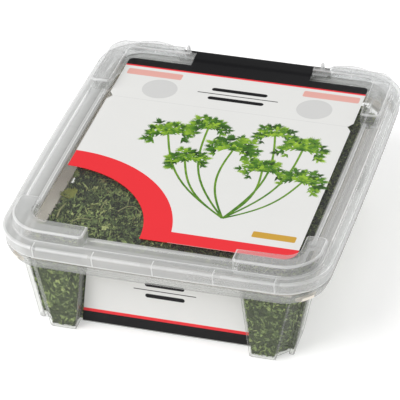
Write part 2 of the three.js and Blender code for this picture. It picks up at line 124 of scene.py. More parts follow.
def arc(centre: Pair, radius: float, start: float, end: float, steps: int) -> Plan:
    """Points along an arc.

    Args:
        centre: Its middle, in millimetres.
        radius: Its radius, in millimetres.
        start: The first angle, in degrees.
        end: The last angle, in degrees.
        steps: How many chords stand for it.

    Returns:
        The points from start to end, both included.
    """
    angles = [math.radians(start + (end - start) * k / steps) for k in range(steps + 1)]
    return [(centre[0] + radius * math.cos(a), centre[1] + radius * math.sin(a)) for a in angles]


def offset_plan(plan: Plan, distance: float) -> Plan:
    """Moves every side of a closed plan inwards by the same distance.

    Args:
        plan: The outline, counter-clockwise.
        distance: How far each side moves, in millimetres.

    Returns:
        The smaller outline, with the same number of points.
    """

    def normal(k: int) -> Pair:
        """The inward normal of the side that starts at point k."""
        x0, y0 = plan[k % len(plan)]
        x1, y1 = plan[(k + 1) % len(plan)]
        length = math.hypot(x1 - x0, y1 - y0)
        return (y0 - y1) / length, (x1 - x0) / length

    moved = []
    for k, (x, y) in enumerate(plan):
        ax, ay = normal(k - 1)
        bx, by = normal(k)
        reach = distance / (1 + ax * bx + ay * by)
        moved.append((x + (ax + bx) * reach, y + (ay + by) * reach))
    return moved


def fillet(plan: Plan, radius: float, steps: int) -> Plan:
    """Rounds every corner of a closed plan. A point on a straight line stays as it is.

    Args:
        plan: The outline.
        radius: The fillet radius, in millimetres, less where a side is short.
        steps: How many chords stand for each corner.

    Returns:
        The rounded outline.
    """
    rounded: Plan = []
    for k, point in enumerate(plan):
        here = Vector(point)
        before = Vector(plan[k - 1]) - here
        after = Vector(plan[(k + 1) % len(plan)]) - here
        u, v = before.normalized(), after.normalized()
        angle = u.angle(v)
        if angle > math.pi - STRAIGHT:
            rounded.append(point)
            continue
        reach = min(radius / math.tan(angle / 2), SIDE_SHARE * before.length, SIDE_SHARE * after.length)
        depth = reach * math.tan(angle / 2)
        middle = here + (u + v).normalized() * (depth / math.sin(angle / 2))
        first, last = here + u * reach - middle, here + v * reach - middle
        turn = math.atan2(first.cross(last), first.dot(last))
        for i in range(steps + 1):
            spoke = Matrix.Rotation(turn * i / steps, 2) @ first
            rounded.append(tuple(middle + spoke))
    return rounded


def at_height(plan: Plan, z: float) -> Ring:
    """The plan's points at one height."""
    return [(x, y, z) for x, y in plan]


def link(made: Piece) -> Piece:
    """Puts an object into the scene."""
    bpy.context.scene.collection.objects.link(made)
    return made


@contextmanager
def form_of(piece: Piece, write: bool = True) -> Iterator[bmesh.types.BMesh]:
    """Opens a piece's mesh for work on its parts.

    Args:
        piece: The piece.
        write: True where the mesh takes the changes over.

    Yields:
        The mesh's editable form.
    """
    form = bmesh.new()
    form.from_mesh(piece.data)
    yield form
    if write:
        form.to_mesh(piece.data)
    form.free()


def new_object(name: str, verts: Sequence[Sequence[float]], faces: Iterable[Sequence[int]]) -> Piece:
    """Makes a mesh object at the origin, with its place in its mesh.

    Args:
        name: The object's name.
        verts: Points in millimetres.
        faces: Point numbers of each face.

    Returns:
        The object, linked to the scene.
    """
    mesh = bpy.data.meshes.new(name)
    mesh.from_pydata([tuple(c * MM for c in v) for v in verts], [], [list(f) for f in faces])
    mesh.update()
    return link(bpy.data.objects.new(name, mesh))


def loft(name: str, rings: Sequence[Ring]) -> Piece:
    """Skins a stack of rings that all have the same number of points, and closes both ends.

    Args:
        name: The object's name.
        rings: The rings from the lowest to the highest, each counter-clockwise from above.

    Returns:
        The closed solid.
    """
    count = len(rings[0])
    verts = [p for ring in rings for p in ring]
    faces: list[list[int]] = [list(reversed(range(count)))]
    for r in range(len(rings) - 1):
        for i in range(count):
            a, b = r * count + i, r * count + (i + 1) % count
            faces.append([a, b, b + count, a + count])
    last = (len(rings) - 1) * count
    faces.append([last + i for i in range(count)])
    return new_object(name, verts, faces)


def prism(name: str, plan: Plan, low: float, high: float, bevel: float = 0.0, steps: int = 3) -> Piece:
    """An upright prism, rounded over at its top edge when a bevel is given.

    Args:
        name: The object's name.
        plan: The outline in millimetres, either way round.
        low: The height of its foot.
        high: The height of its top.
        bevel: The radius of its top edge.
        steps: How many rings round the edge over.

    Returns:
        The closed solid.
    """
    area = sum(x0 * y1 - x1 * y0 for (x0, y0), (x1, y1) in zip(plan, plan[1:] + plan[:1]))
    outline = plan if area > 0 else plan[::-1]
    if bevel <= 0:
        return loft(name, [at_height(outline, low), at_height(outline, high)])
    rings = [at_height(outline, low)]
    for k in range(steps + 1):
        turn = math.pi / 2 * k / steps
        inset, drop = bevel * (1 - math.cos(turn)), bevel * (1 - math.sin(turn))
        rings.append(at_height(offset_plan(outline, inset), high - drop))
    return loft(name, rings)


def block(name: str, low: Sequence[float], high: Sequence[float]) -> Piece:
    """A plain box used only to cut or fill, between two corners in millimetres."""
    plan = [(low[0], low[1]), (high[0], low[1]), (high[0], high[1]), (low[0], high[1])]
    return prism(name, plan, low[2], high[2])


def bake(piece: Piece) -> Piece:
    """Turns the piece's live modifiers into its plain mesh."""
    graph = bpy.context.evaluated_depsgraph_get()
    mesh = bpy.data.meshes.new_from_object(piece.evaluated_get(graph))
    old = piece.data
    piece.modifiers.clear()
    piece.data = mesh
    mesh.name = piece.name
    bpy.data.meshes.remove(old)
    return piece


def discard(piece: Piece) -> None:
    """Deletes an object and its mesh."""
    mesh = piece.data
    bpy.data.objects.remove(piece)
    bpy.data.meshes.remove(mesh)


def combine(target: Piece, tools: Sequence[Piece], how: Cut) -> Piece:
    """Joins other solids to a solid, or cuts it with them, and deletes them.

    Args:
        target: The solid that stays.
        tools: The solids that are used up.
        how: What is done with them.

    Returns:
        The target.
    """
    for tool in tools:
        modifier = target.modifiers.new("combine", "BOOLEAN")
        modifier.solver = "MANIFOLD"
        modifier.operation = how.value
        modifier.object = tool
        bake(target)
        discard(tool)
    return target


def outwards(piece: Piece) -> Piece:
    """Merges doubled points and turns every face outwards."""
    with form_of(piece) as form:
        bmesh.ops.remove_doubles(form, verts=form.verts, dist=MERGE_DISTANCE)
        bmesh.ops.recalc_face_normals(form, faces=form.faces)
    return piece


def smooth(piece: Piece) -> Piece:
    """Shades the piece smooth up to an angle, with flat faces kept flat, and marks its rounded edges."""
    mesh = piece.data
    mesh.shade_smooth()
    mesh.set_sharp_from_angle(angle=SMOOTH_ANGLE)
    weight = piece.modifiers.new("weighted", "WEIGHTED_NORMAL")
    weight.keep_sharp = True
    return mark_edges(bake(piece))


def mark_edges(piece: Piece) -> Piece:
    """Marks each convex face by how sharply it is rounded, in the attribute edge.

    Args:
        piece: The finished solid.

    Returns:
        The piece.
    """
    marks = []
    with form_of(piece, write=False) as form:
        for face in form.faces:
            area = face.calc_area()
            bend = sum(e.calc_face_angle_signed(0.0) * e.calc_length() / 2 for e in face.edges)
            sliver = area < LEAST_WIDTH * max(e.calc_length() for e in face.edges)
            curve = 0.0 if sliver else bend * MM / area
            marks.append(min(max(curve / FULL_CURVE, 0.0), 1.0))
    piece.data.attributes.new("edge", "FLOAT", "FACE").data.foreach_set("value", marks)
    return piece



def dress(piece: Piece, material: Material, slot: Slot, *stands_for: str) -> Piece:
    """Gives a finished piece its material and its body.

    Args:
        piece: The finished piece.
        material: Its only material.
        slot: The record's slot that it would take its finish from; not used.
        stands_for: CAD nodes that it replaces.

    Returns:
        The piece.
    """
    piece.data.materials.clear()
    piece.data.materials.append(material)
    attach(piece, BODY)
    if stands_for:
        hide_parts(*stands_for)
    log.info("%s: %d faces", piece.name, len(piece.data.polygons))
    return piece


# Shader nodes


class Tree:
    """Builds one node tree, with plain values and links given together."""

    def __init__(self, tree: NodeTree) -> None:
        """Takes the tree to build in."""
        self.tree = tree

    def feed(self, node: Node, inputs: dict[Any, Any]) -> Node:
        """Sets a node's inputs.

        Args:
            node: The node.
            inputs: A value or an output socket for each input, by name or number.

        Returns:
            The node.
        """
        for name, value in inputs.items():
            if isinstance(value, NodeSocket):
                self.tree.links.new(value, node.inputs[name])
            else:
                node.inputs[name].default_value = value
        return node

    def add(self, kind: str, inputs: dict[Any, Any] | None = None, **settings: Any) -> Node:
        """Adds a node.

        Args:
            kind: The node's type name.
            inputs: A value or an output socket for each input, by name or number.
            settings: The node's own properties.

        Returns:
            The node.
        """
        node = self.tree.nodes.new(kind)
        for name, value in settings.items():
            setattr(node, name, value)
        return self.feed(node, inputs or {})

    def math(self, operation: str, a: Any, b: Any = 0.0, clamp: bool = False) -> NodeSocket:
        """One Math node's result."""
        return self.add("ShaderNodeMath", {0: a, 1: b}, operation=operation, use_clamp=clamp).outputs[0]

    def plus(self, a: Any, b: Any, clamp: bool = False) -> NodeSocket:
        """The sum of two values."""
        return self.math("ADD", a, b, clamp)

    def times(self, a: Any, b: Any) -> NodeSocket:
        """The product of two values."""
        return self.math("MULTIPLY", a, b)

    def vector(self, operation: str, a: Any, b: Any = ORIGIN) -> NodeSocket:
        """One Vector Math node's vector."""
        return self.add("ShaderNodeVectorMath", {0: a, 1: b}, operation=operation).outputs[0]

    def length(self, a: Any) -> NodeSocket:
        """A vector's length."""
        return self.add("ShaderNodeVectorMath", {0: a}, operation="LENGTH").outputs["Value"]

    def noise(self, place: Any, scale: float, detail: float) -> NodeSocket:
        """A noise texture's value."""
        inputs = {"Vector": place, "Scale": scale, "Detail": detail}
        return self.add("ShaderNodeTexNoise", inputs).outputs["Fac"]

    def cells(self, place: Any, scale: float) -> NodeSocket:
        """The distance to the nearest wall in a pattern of cells."""
        inputs = {"Vector": place, "Scale": scale}
        return self.add("ShaderNodeTexVoronoi", inputs, feature="DISTANCE_TO_EDGE").outputs["Distance"]

    def ranged(self, value: Any, limits: Pair, ends: Pair) -> NodeSocket:
        """A value between two limits brought to lie between two ends."""
        span = {"From Min": limits[0], "From Max": limits[1], "To Min": ends[0], "To Max": ends[1]}
        return self.add("ShaderNodeMapRange", {"Value": value, **span}).outputs[0]

    def bump(self, height: Any, strength: float, distance: float) -> NodeSocket:
        """A normal bent by a height."""
        inputs = {"Strength": strength, "Distance": distance, "Height": height}
        return self.add("ShaderNodeBump", inputs).outputs[0]

    def place(self) -> NodeSocket:
        """The object's own coordinates."""
        return self.add("ShaderNodeTexCoord").outputs["Object"]

    def mark(self, name: str) -> NodeSocket:
        """A value stored in the mesh."""
        return self.add("ShaderNodeAttribute", attribute_name=name).outputs["Fac"]

    def skin(self, end: Node, colour: Any, roughness: Any, specular: float, **more: Any) -> None:
        """Ends a material with one Principled surface."""
        inputs = {"Base Color": colour, "Roughness": roughness, "Specular IOR Level": specular, **more}
        self.feed(end, {"Surface": self.add("ShaderNodeBsdfPrincipled", inputs).outputs[0]})

    def ramp(self, factor: Any, stops: Sequence[tuple[float, Colour]]) -> NodeSocket:
        """A colour ramp's colour.

        Args:
            factor: Where on the ramp it is taken.
            stops: The ramp's places and their colours.

        Returns:
            The colour.
        """
        node = self.add("ShaderNodeValToRGB", {"Fac": factor})
        band = node.color_ramp
        while len(band.elements) < len(stops):
            band.elements.new(0.5)
        for element, (place, colour) in zip(band.elements, stops):
            element.position = place
            element.color = (*colour, 1.0)
        return node.outputs["Color"]

    def blend(self, factor: Any, a: Any, b: Any) -> NodeSocket:
        """Colour a where the factor is 0, and b where it is 1."""
        a, b = ((*c, 1.0) if isinstance(c, tuple) else c for c in (a, b))
        return self.add("ShaderNodeMix", {0: factor, 6: a, 7: b}, data_type="RGBA").outputs[2]

    def group(self, tree: NodeTree, inputs: dict[str, Any]) -> Any:
        """The outputs of a shared group placed with its own values."""
        return self.add("ShaderNodeGroup", inputs, node_tree=tree).outputs


def new_group(name: str, inputs: dict[str, Any], outputs: Sequence[str]) -> tuple[Tree, Any, Node]:
    """Starts a shader node group with named sockets.

    Args:
        name: The group's name.
        inputs: The default of each input, a number or a vector.
        outputs: The name of each output, all of them numbers.

    Returns:
        The tree, its given values and its output node.
    """
    tree = bpy.data.node_groups.new(name, "ShaderNodeTree")
    for label, value in inputs.items():
        kind = "NodeSocketVector" if isinstance(value, tuple) else "NodeSocketFloat"
        tree.interface.new_socket(name=label, in_out="INPUT", socket_type=kind).default_value = value
    for label in outputs:
        tree.interface.new_socket(name=label, in_out="OUTPUT", socket_type="NodeSocketFloat")
    return Tree(tree), tree.nodes.new("NodeGroupInput").outputs, tree.nodes.new("NodeGroupOutput")


def haze_group() -> NodeTree:
    """Milky mottling, flow streaks and fine scuffs of moulded plastic."""
    inputs = {"Vector": ORIGIN, "Streak": 0.5}
    tree, given, end = new_group("moulded haze", inputs, ("Haze", "Scuff", "Height"))
    place = given["Vector"]
    stretched = tree.add("ShaderNodeMapping", {"Vector": place, "Scale": (18.0, 150.0, 150.0)}).outputs[0]
    clouds, streaks = tree.noise(place, 60.0, 3.0), tree.noise(stretched, 3.0, 2.0)
    fine = tree.noise(place, 900.0, 2.0)
    mixed = tree.add("ShaderNodeMix", {0: given["Streak"], 2: clouds, 3: streaks}).outputs[0]
    scuff = tree.times(tree.math("LESS_THAN", tree.cells(place, 420.0), 0.006), fine)
    tree.feed(end, {"Haze": mixed, "Scuff": scuff, "Height": tree.plus(mixed, tree.times(fine, 0.25))})
    return tree.tree


def printed_box_group() -> NodeTree:
    """A printed box with round corners: 1 inside and 0 outside."""
    inputs = {"Vector": ORIGIN, "Centre": ORIGIN, "Half": (0.01, 0.01, 1.0), "Round": 0.0}
    tree, given, end = new_group("printed box", inputs, ("Mask",))
    away = tree.vector("ABSOLUTE", tree.vector("SUBTRACT", given["Vector"], given["Centre"]))
    radius = tree.math("MAXIMUM", given["Round"], LEAST_ROUND)
    corner = tree.add("ShaderNodeCombineXYZ", {k: radius for k in range(3)}).outputs[0]
    outside = tree.vector("MAXIMUM", tree.vector("ADD", tree.vector("SUBTRACT", away, given["Half"]), corner))
    distance = tree.math("SUBTRACT", tree.length(outside), radius)
    tree.feed(end, {"Mask": tree.ranged(distance, (SOFT_EDGE, -SOFT_EDGE), (0.0, 1.0))})
    return tree.tree


def paper_group() -> NodeTree:
    """Fibre grain, slow waviness and faint soiling of coated paper."""
    tree, given, end = new_group("coated paper", {"Vector": ORIGIN}, ("Shade", "Height", "Gloss"))
    fibre, wave, soil = (tree.noise(given["Vector"], *v) for v in ((1400.0, 3.0), (28.0, 1.0), (110.0, 4.0)))
    shade = tree.ranged(soil, (0.0, 1.0), (0.965, 1.0))
    gloss = tree.ranged(fibre, (0.0, 1.0), (0.24, 0.36))
    tree.feed(end, {"Shade": shade, "Height": tree.plus(wave, tree.times(fibre, 0.02)), "Gloss": gloss})
    return tree.tree


def new_material(name: str) -> tuple[Material, Tree, Node]:
    """Starts a node material.

    Args:
        name: The material's name.

    Returns:
        The material, its emptied tree and its output node.
    """
    material = bpy.data.materials.new(name)
    material.use_nodes = True
    tree = Tree(material.node_tree)
    material.node_tree.nodes.clear()
    return material, tree, tree.add("ShaderNodeOutputMaterial")


@dataclass(frozen=True)
class PlasticFinish:
    """See-through moulded plastic. Its opacity is that of one surface, and every wall has two."""

    name: str
    colour: Colour
    tint: Colour
    opacity: float
    haze: float
    edge: float
    shine: float
    roughness: float
    streak: float
    bump: float
    # The edge mark carries painted edge lines: a painted highlight on the lid's rounded edges and painted
    # dark refraction lines on the tub's.
    painted_edge_opacity: float
    painted_edge_shading: Colour
    thick_from: float = 0.0
    thick_opacity: float = 0.0
    thick_painted_edge_opacity: float = 0.0
    clear_half: Pair = (0.0, 0.0)
    clear_share: float = 1.0
    # The ledge box has a beige tone of its own, made lighter than that as painted light in the shade under
    # the lid and the sheet.
    ledge: tuple[float, float, float, float] | None = None
    ledge_tone_and_painted_light: Colour = (1.0, 1.0, 1.0)
    ledge_opacity: float = 0.0
    # across is painted light: the lid is milkier and lighter on its left, under the key lamp, and clearer on
    # its right.
    across: Pair = (0.0, 0.0)
    along: Pair = (0.0, 0.0)
    grazing: float = 0.3

    def build(self, haze: NodeTree, printed: NodeTree) -> Material:
        """Makes the material: a milky body that shows what is behind it, under a bright skin.

        Args:
            haze: The shared group of mottling and scuffs.
            printed: The shared group that masks a box, used for the clear panel and for the ledge.

        Returns:
            The material.
        """
        material, tree, end = new_material(self.name)
        place = tree.place()
        marks = tree.group(haze, {"Vector": place, "Streak": self.streak})
        facing = tree.add("ShaderNodeLayerWeight", {"Blend": 0.5}).outputs["Facing"]
        cloudy = tree.times(tree.math("SUBTRACT", marks["Haze"], 0.5), self.haze)
        rim = tree.times(tree.math("POWER", facing, 3.0), self.edge)
        opacity = tree.plus(tree.plus(cloudy, self.opacity), rim, True)
        apart = tree.add("ShaderNodeSeparateXYZ", {0: place}).outputs
        # Painted light: across makes the lid milkier and lighter on its left, where the key lamp falls and
        # shines, and clearer on its right. along makes it more opaque towards the front.
        for axis, ends in (("X", self.across), ("Y", self.along)):
            if ends[0] != ends[1]:
                limits = (-DRIFT_HALF * MM, DRIFT_HALF * MM)
                opacity = tree.plus(opacity, tree.ranged(apart[axis], limits, ends))
        sharp: Any = self.painted_edge_opacity
        if self.thick_opacity != 0:
            limits = ((self.thick_from - THICK_FADE) * MM, self.thick_from * MM)
            opacity = tree.plus(opacity, tree.ranged(apart["Z"], limits, (0.0, self.thick_opacity)))
            sharp = tree.ranged(apart["Z"], limits, (self.painted_edge_opacity, self.thick_painted_edge_opacity))
        if self.clear_share < 1.0:
            half = (self.clear_half[0] * MM, self.clear_half[1] * MM, 1.0)
            panel = tree.group(printed, {"Vector": place, "Half": half, "Round": PANEL_ROUND * MM})[0]
            opacity = tree.times(opacity, tree.ranged(panel, (0.0, 1.0), (1.0, self.clear_share)))
        # Painted light on rounded edges: lighter lines stand for highlights on the lid, darker lines for
        # light bent at the tub's edges.
        edge = tree.mark("edge")
        opacity = tree.plus(opacity, tree.times(edge, sharp), True)
        colour = tree.blend(edge, self.colour, self.painted_edge_shading)
        # The ledge's colour is part its own beige tone and part painted light, lifted to stand out of the
        # shade under the lid and the sheet.
        if self.ledge:
            half_x, half_y, middle, half_z = (v * MM for v in self.ledge)
            box = {"Centre": (0.0, 0.0, middle), "Half": (half_x, half_y, half_z), "Round": LEDGE_ROUND * MM}
            mask = tree.group(printed, {"Vector": place, **box})[0]
            opacity = tree.plus(opacity, tree.times(mask, self.ledge_opacity), True)
            colour = tree.blend(mask, colour, self.ledge_tone_and_painted_light)
        rough = tree.plus(tree.times(marks["Scuff"], SCUFF_ROUGHNESS), self.roughness, True)
        bump = tree.bump(marks["Height"], self.bump, 0.0001)
        matt = {"Base Color": colour, "Roughness": 0.6, "Specular IOR Level": 0.0}
        body = tree.add("ShaderNodeBsdfPrincipled", matt).outputs[0]
        through = tree.add("ShaderNodeBsdfTransparent", {"Color": (*self.tint, 1.0)}).outputs[0]
        milk = tree.add("ShaderNodeMixShader", {0: opacity, 1: through, 2: body}).outputs[0]
        bright = {"Color": (1.0, 1.0, 1.0, 1.0), "Roughness": rough, "Normal": bump}
        skin = tree.add("ShaderNodeBsdfAnisotropic", bright).outputs[0]
        gloss = tree.plus(tree.times(tree.math("POWER", facing, 5.0), self.grazing), self.shine, True)
        tree.feed(end, {"Surface": tree.add("ShaderNodeMixShader", {0: gloss, 1: milk, 2: skin}).outputs[0]})
        return material


@dataclass(frozen=True)
class Printed:
    """One printed box on a sheet, in millimetres, from its middle and its half size."""

    centre: Point
    half: Point
    round: float
    colour: Colour


@dataclass(frozen=True)
class PaperFinish:
    """Glossy coated paper with plain printed shapes, and a printed ring where it has a radius."""

    name: str
    ground: Colour
    prints: tuple[Printed, ...] = ()
    ring_centre: Pair = (0.0, 0.0)
    ring: Pair = (0.0, 0.0)
    ring_colour: Colour = (0.0, 0.0, 0.0)

    def build(self, paper: NodeTree, printed: NodeTree) -> Material:
        """Makes the material.

        Args:
            paper: The shared group of grain and soiling.
            printed: The shared group that masks a box.

        Returns:
            The material.
        """
        material, tree, end = new_material(self.name)
        place = tree.place()
        grain = tree.group(paper, {"Vector": place})
        colour: Any = self.ground
        if self.ring[1] > self.ring[0]:
            middle = (self.ring_centre[0] * MM, self.ring_centre[1] * MM, 0.0)
            flat = tree.vector("MULTIPLY", tree.vector("SUBTRACT", place, middle), (1.0, 1.0, 0.0))
            radius = tree.length(flat)
            inner = tree.math("GREATER_THAN", radius, self.ring[0] * MM)
            outer = tree.math("LESS_THAN", radius, self.ring[1] * MM)
            colour = tree.blend(tree.times(inner, outer), colour, self.ring_colour)
        for shape in self.prints:
            centre, half = (tuple(c * MM for c in v) for v in (shape.centre, shape.half))
            box = {"Vector": place, "Centre": centre, "Half": half, "Round": shape.round * MM}
            colour = tree.blend(tree.group(printed, box)[0], colour, shape.colour)
        inputs = {0: colour, "Scale": grain["Shade"]}
        shaded = tree.add("ShaderNodeVectorMath", inputs, operation="SCALE").outputs[0]
        tree.skin(end, shaded, grain["Gloss"], 0.2, Normal=tree.bump(grain["Height"], 0.25, 0.0003))
        return material


@dataclass(frozen=True)
class InkFinish:
    """Printed ink with a gradient carried by the mesh."""

    name: str
    dark: Colour
    middle: Colour
    light: Colour

    def build(self, paper: NodeTree) -> Material:
        """Makes the material, with the paper's grain under the ink."""
        material, tree, end = new_material(self.name)
        place = tree.place()
        patch = tree.times(tree.noise(place, 420.0, 3.0), 0.4)
        factor = tree.plus(patch, tree.math("SUBTRACT", tree.mark("tone"), 0.2))
        colour = tree.ramp(factor, [(0.0, self.dark), (0.45, self.middle), (0.9, self.light)])
        tree.skin(end, colour, tree.group(paper, {"Vector": place})["Gloss"], 0.4)
        return material


@dataclass(frozen=True)
class LeafFinish:
    """Dry crumpled leaf, its colour set flake by flake and its veins by noise."""

    name: str
    stops: tuple[tuple[float, Colour], ...]
    roughness: float = 0.7

    def build(self) -> Material:
        """Makes the material."""
        material, tree, end = new_material(self.name)
        place = tree.place()
        patch = tree.noise(place, 900.0, 4.0)
        drift = tree.times(tree.math("SUBTRACT", patch, 0.5), 0.5)
        colour = tree.ramp(tree.plus(tree.mark("tone"), drift, True), self.stops)
        height = tree.plus(tree.times(tree.cells(place, 1500.0), 0.6), patch)
        rough = tree.plus(tree.times(patch, 0.25), self.roughness, True)
        tree.skin(end, colour, rough, 0.3, Normal=tree.bump(height, 0.5, 0.0003))
        return material


# The tub


@dataclass(frozen=True)
class Walls:
    """The tub's outline at one height, in millimetres from its middle."""

    panel_y: float
    post_y: float
    post_in: float
    post_out: float
    panel_x: float
    side_x: float
    side_y: float
    side_length: float


@dataclass
class RimPlan:
    """The round-cornered outline that the lid and the tub's flange follow."""

    half_x: float = 50.0
    half_y: float = 60.6
    corner: float = 14.0
    bow: float = 0.7
    corner_steps: int = 14
    side_steps: int = 9

    def bowed(self, x: float, y: float) -> Pair:
        """Pulls the corners in a little, so that the sides are gently bowed."""
        u, v = x / self.half_x, y / self.half_y
        return x * (1 - self.bow / self.half_x * v * v), y * (1 - self.bow / self.half_y * u * u)

    def plan(self, inset: float) -> Plan:
        """The outline a distance in from the widest line."""
        half_x, half_y = self.half_x - inset, self.half_y - inset
        radius = max(self.corner - inset, 1.5)
        corners = [(1, -1, -90), (1, 1, 0), (-1, 1, 90), (-1, -1, 180)]
        points: Plan = []
        for k, (sx, sy, start) in enumerate(corners):
            middle = (sx * (half_x - radius), sy * (half_y - radius))
            points += arc(middle, radius, start, start + 90, self.corner_steps)
            nx, ny, angle = corners[(k + 1) % 4]
            after = arc((nx * (half_x - radius), ny * (half_y - radius)), radius, angle, angle, 1)[0]
            here = points[-1]
            for i in range(1, self.side_steps):
                t = i / self.side_steps
                points.append((here[0] + (after[0] - here[0]) * t, here[1] + (after[1] - here[1]) * t))
        return [self.bowed(x, y) for x, y in points]

    def loft(self, name: str, profile: Sequence[Pair]) -> Piece:
        """A closed solid through the outline at each inset and height of a profile."""
        return loft(name, [at_height(self.plan(inset), z) for inset, z in profile])


@dataclass
class Tub:
    """The clear tub: flat recessed panels between posts, cut corners, a flange with a groove and a lip."""

    rim: RimPlan
    wall: float = 0.5
    floor: float = 0.6
    step: float = 25.2
    lip: float = 24.1
    flange: float = 27.9
    upstand: float = 31.3
    edge: float = 0.3
    foot: float = 0.7
    at_floor: Walls = Walls(49.2, 53.9, 26.4, 34.3, 36.0, 38.9, 50.0, 12.0)
    at_lip: Walls = Walls(49.7, 54.4, 23.7, 39.1, 40.6, 43.5, 50.6, 14.0)
    cut: Point = (2.9, 2.0, 1.2)

    def walls(self, z: float) -> dict[str, float]:
        """Every measure of the outline at one height."""
        t = z / self.lip
        low, high = vars(self.at_floor), vars(self.at_lip)
        return {k: low[k] * (1 - t) + high[k] * t for k in low}

    def plan(self, z: float, notched: bool) -> Plan:
        """The tub's outline at one height.

        Args:
            z: The height, in millimetres.
            notched: True outside, where a notch parts the cut corner from the side post.

        Returns:
            The outline, counter-clockwise.
        """
        at = self.walls(z)
        cut_x = at["post_out"] + self.cut[0]
        cut_y = at["side_y"] - self.cut[2]
        back = at["side_y"] - at["side_length"]
        quarter = [(at["panel_x"], 0.0), (at["panel_x"], back), (at["side_x"], back)]
        quarter.append((at["side_x"], at["side_y"] if notched else cut_y))
        if notched:
            quarter.append((cut_x, at["side_y"]))
        quarter += [(cut_x, cut_y), (at["post_out"], at["post_y"] - self.cut[1])]
        quarter.append((at["post_out"], at["post_y"]))
        quarter += [(at["post_in"], at["post_y"]), (at["post_in"], at["panel_y"])]
        half = quarter + [(-x, y) for x, y in reversed(quarter[1:])] + [(-at["panel_x"], 0.0)]
        return half + [(x, -y) for x, y in reversed(half[1:-1])]

    def ring(self, z: float, inset: float, notched: bool = False) -> Ring:
        """The rounded outline at one height, a distance in from the outside."""
        radius = self.edge if notched else 0.5 * self.edge
        return at_height(fillet(offset_plan(self.plan(z, notched), inset), radius, 3), z)

    def room(self, name: str, clear: float, top: float) -> Piece:
        """The room between the walls, with a clearance, up to a height."""
        low, inset = self.floor + clear, self.wall + clear
        upper = self.ring(self.step, inset)
        rings = [self.ring(low, inset + 0.25), self.ring(low + 0.25, inset), upper]
        rings.append([(x, y, top) for x, y, _ in upper])
        return loft(name, rings)

    def build(self) -> Piece:
        """Makes the whole shell."""
        outside = []
        for k in range(4):
            turn = math.pi / 2 * k / 3
            z, inset = self.foot * (1 - math.cos(turn)), self.foot * (1 - math.sin(turn))
            outside.append(self.ring(z, inset, True))
        shell = loft("tub_shell", outside + [self.ring(self.step, 0.0, True)])
        lip, step, top = self.lip, self.step, self.upstand
        low = [(5.6, step - self.wall), (5.2, step - 0.5), (5.0, step)]
        ledge = self.rim.loft("ledge", low + [(5.0, top - 0.2), (5.2, top)])
        lower = [(2.25, lip), (2.05, lip + 0.15), (1.8, 24.9), (1.75, 25.4), (1.55, 25.7), (1.3, 25.85)]
        upper = [(1.2, 26.2), (1.0, 26.5), (0.85, 26.8), (0.8, 27.5), (0.95, 27.8), (1.2, self.flange)]
        flange = self.rim.loft("flange", lower + upper)
        under = self.rim.loft("under", [(3.0, lip - 1), (2.9, 25.2), (2.2, 26.2), (1.9, self.flange - 0.9)])
        combine(flange, [under], Cut.REMOVE)
        combine(shell, [ledge, flange], Cut.JOIN)
        inner = self.wall + self.foot
        levels = [(self.floor, inner), (self.floor + 0.2, inner - 0.45)]
        levels += [(self.floor + self.foot, self.wall), (step + 1, self.wall)]
        cavity = loft("cavity", [self.ring(z, inset) for z, inset in levels])
        mouth = self.rim.loft("mouth", [(5.8, step), (5.8, top + 1)])
        return smooth(combine(shell, [cavity, mouth], Cut.REMOVE))



# The lid


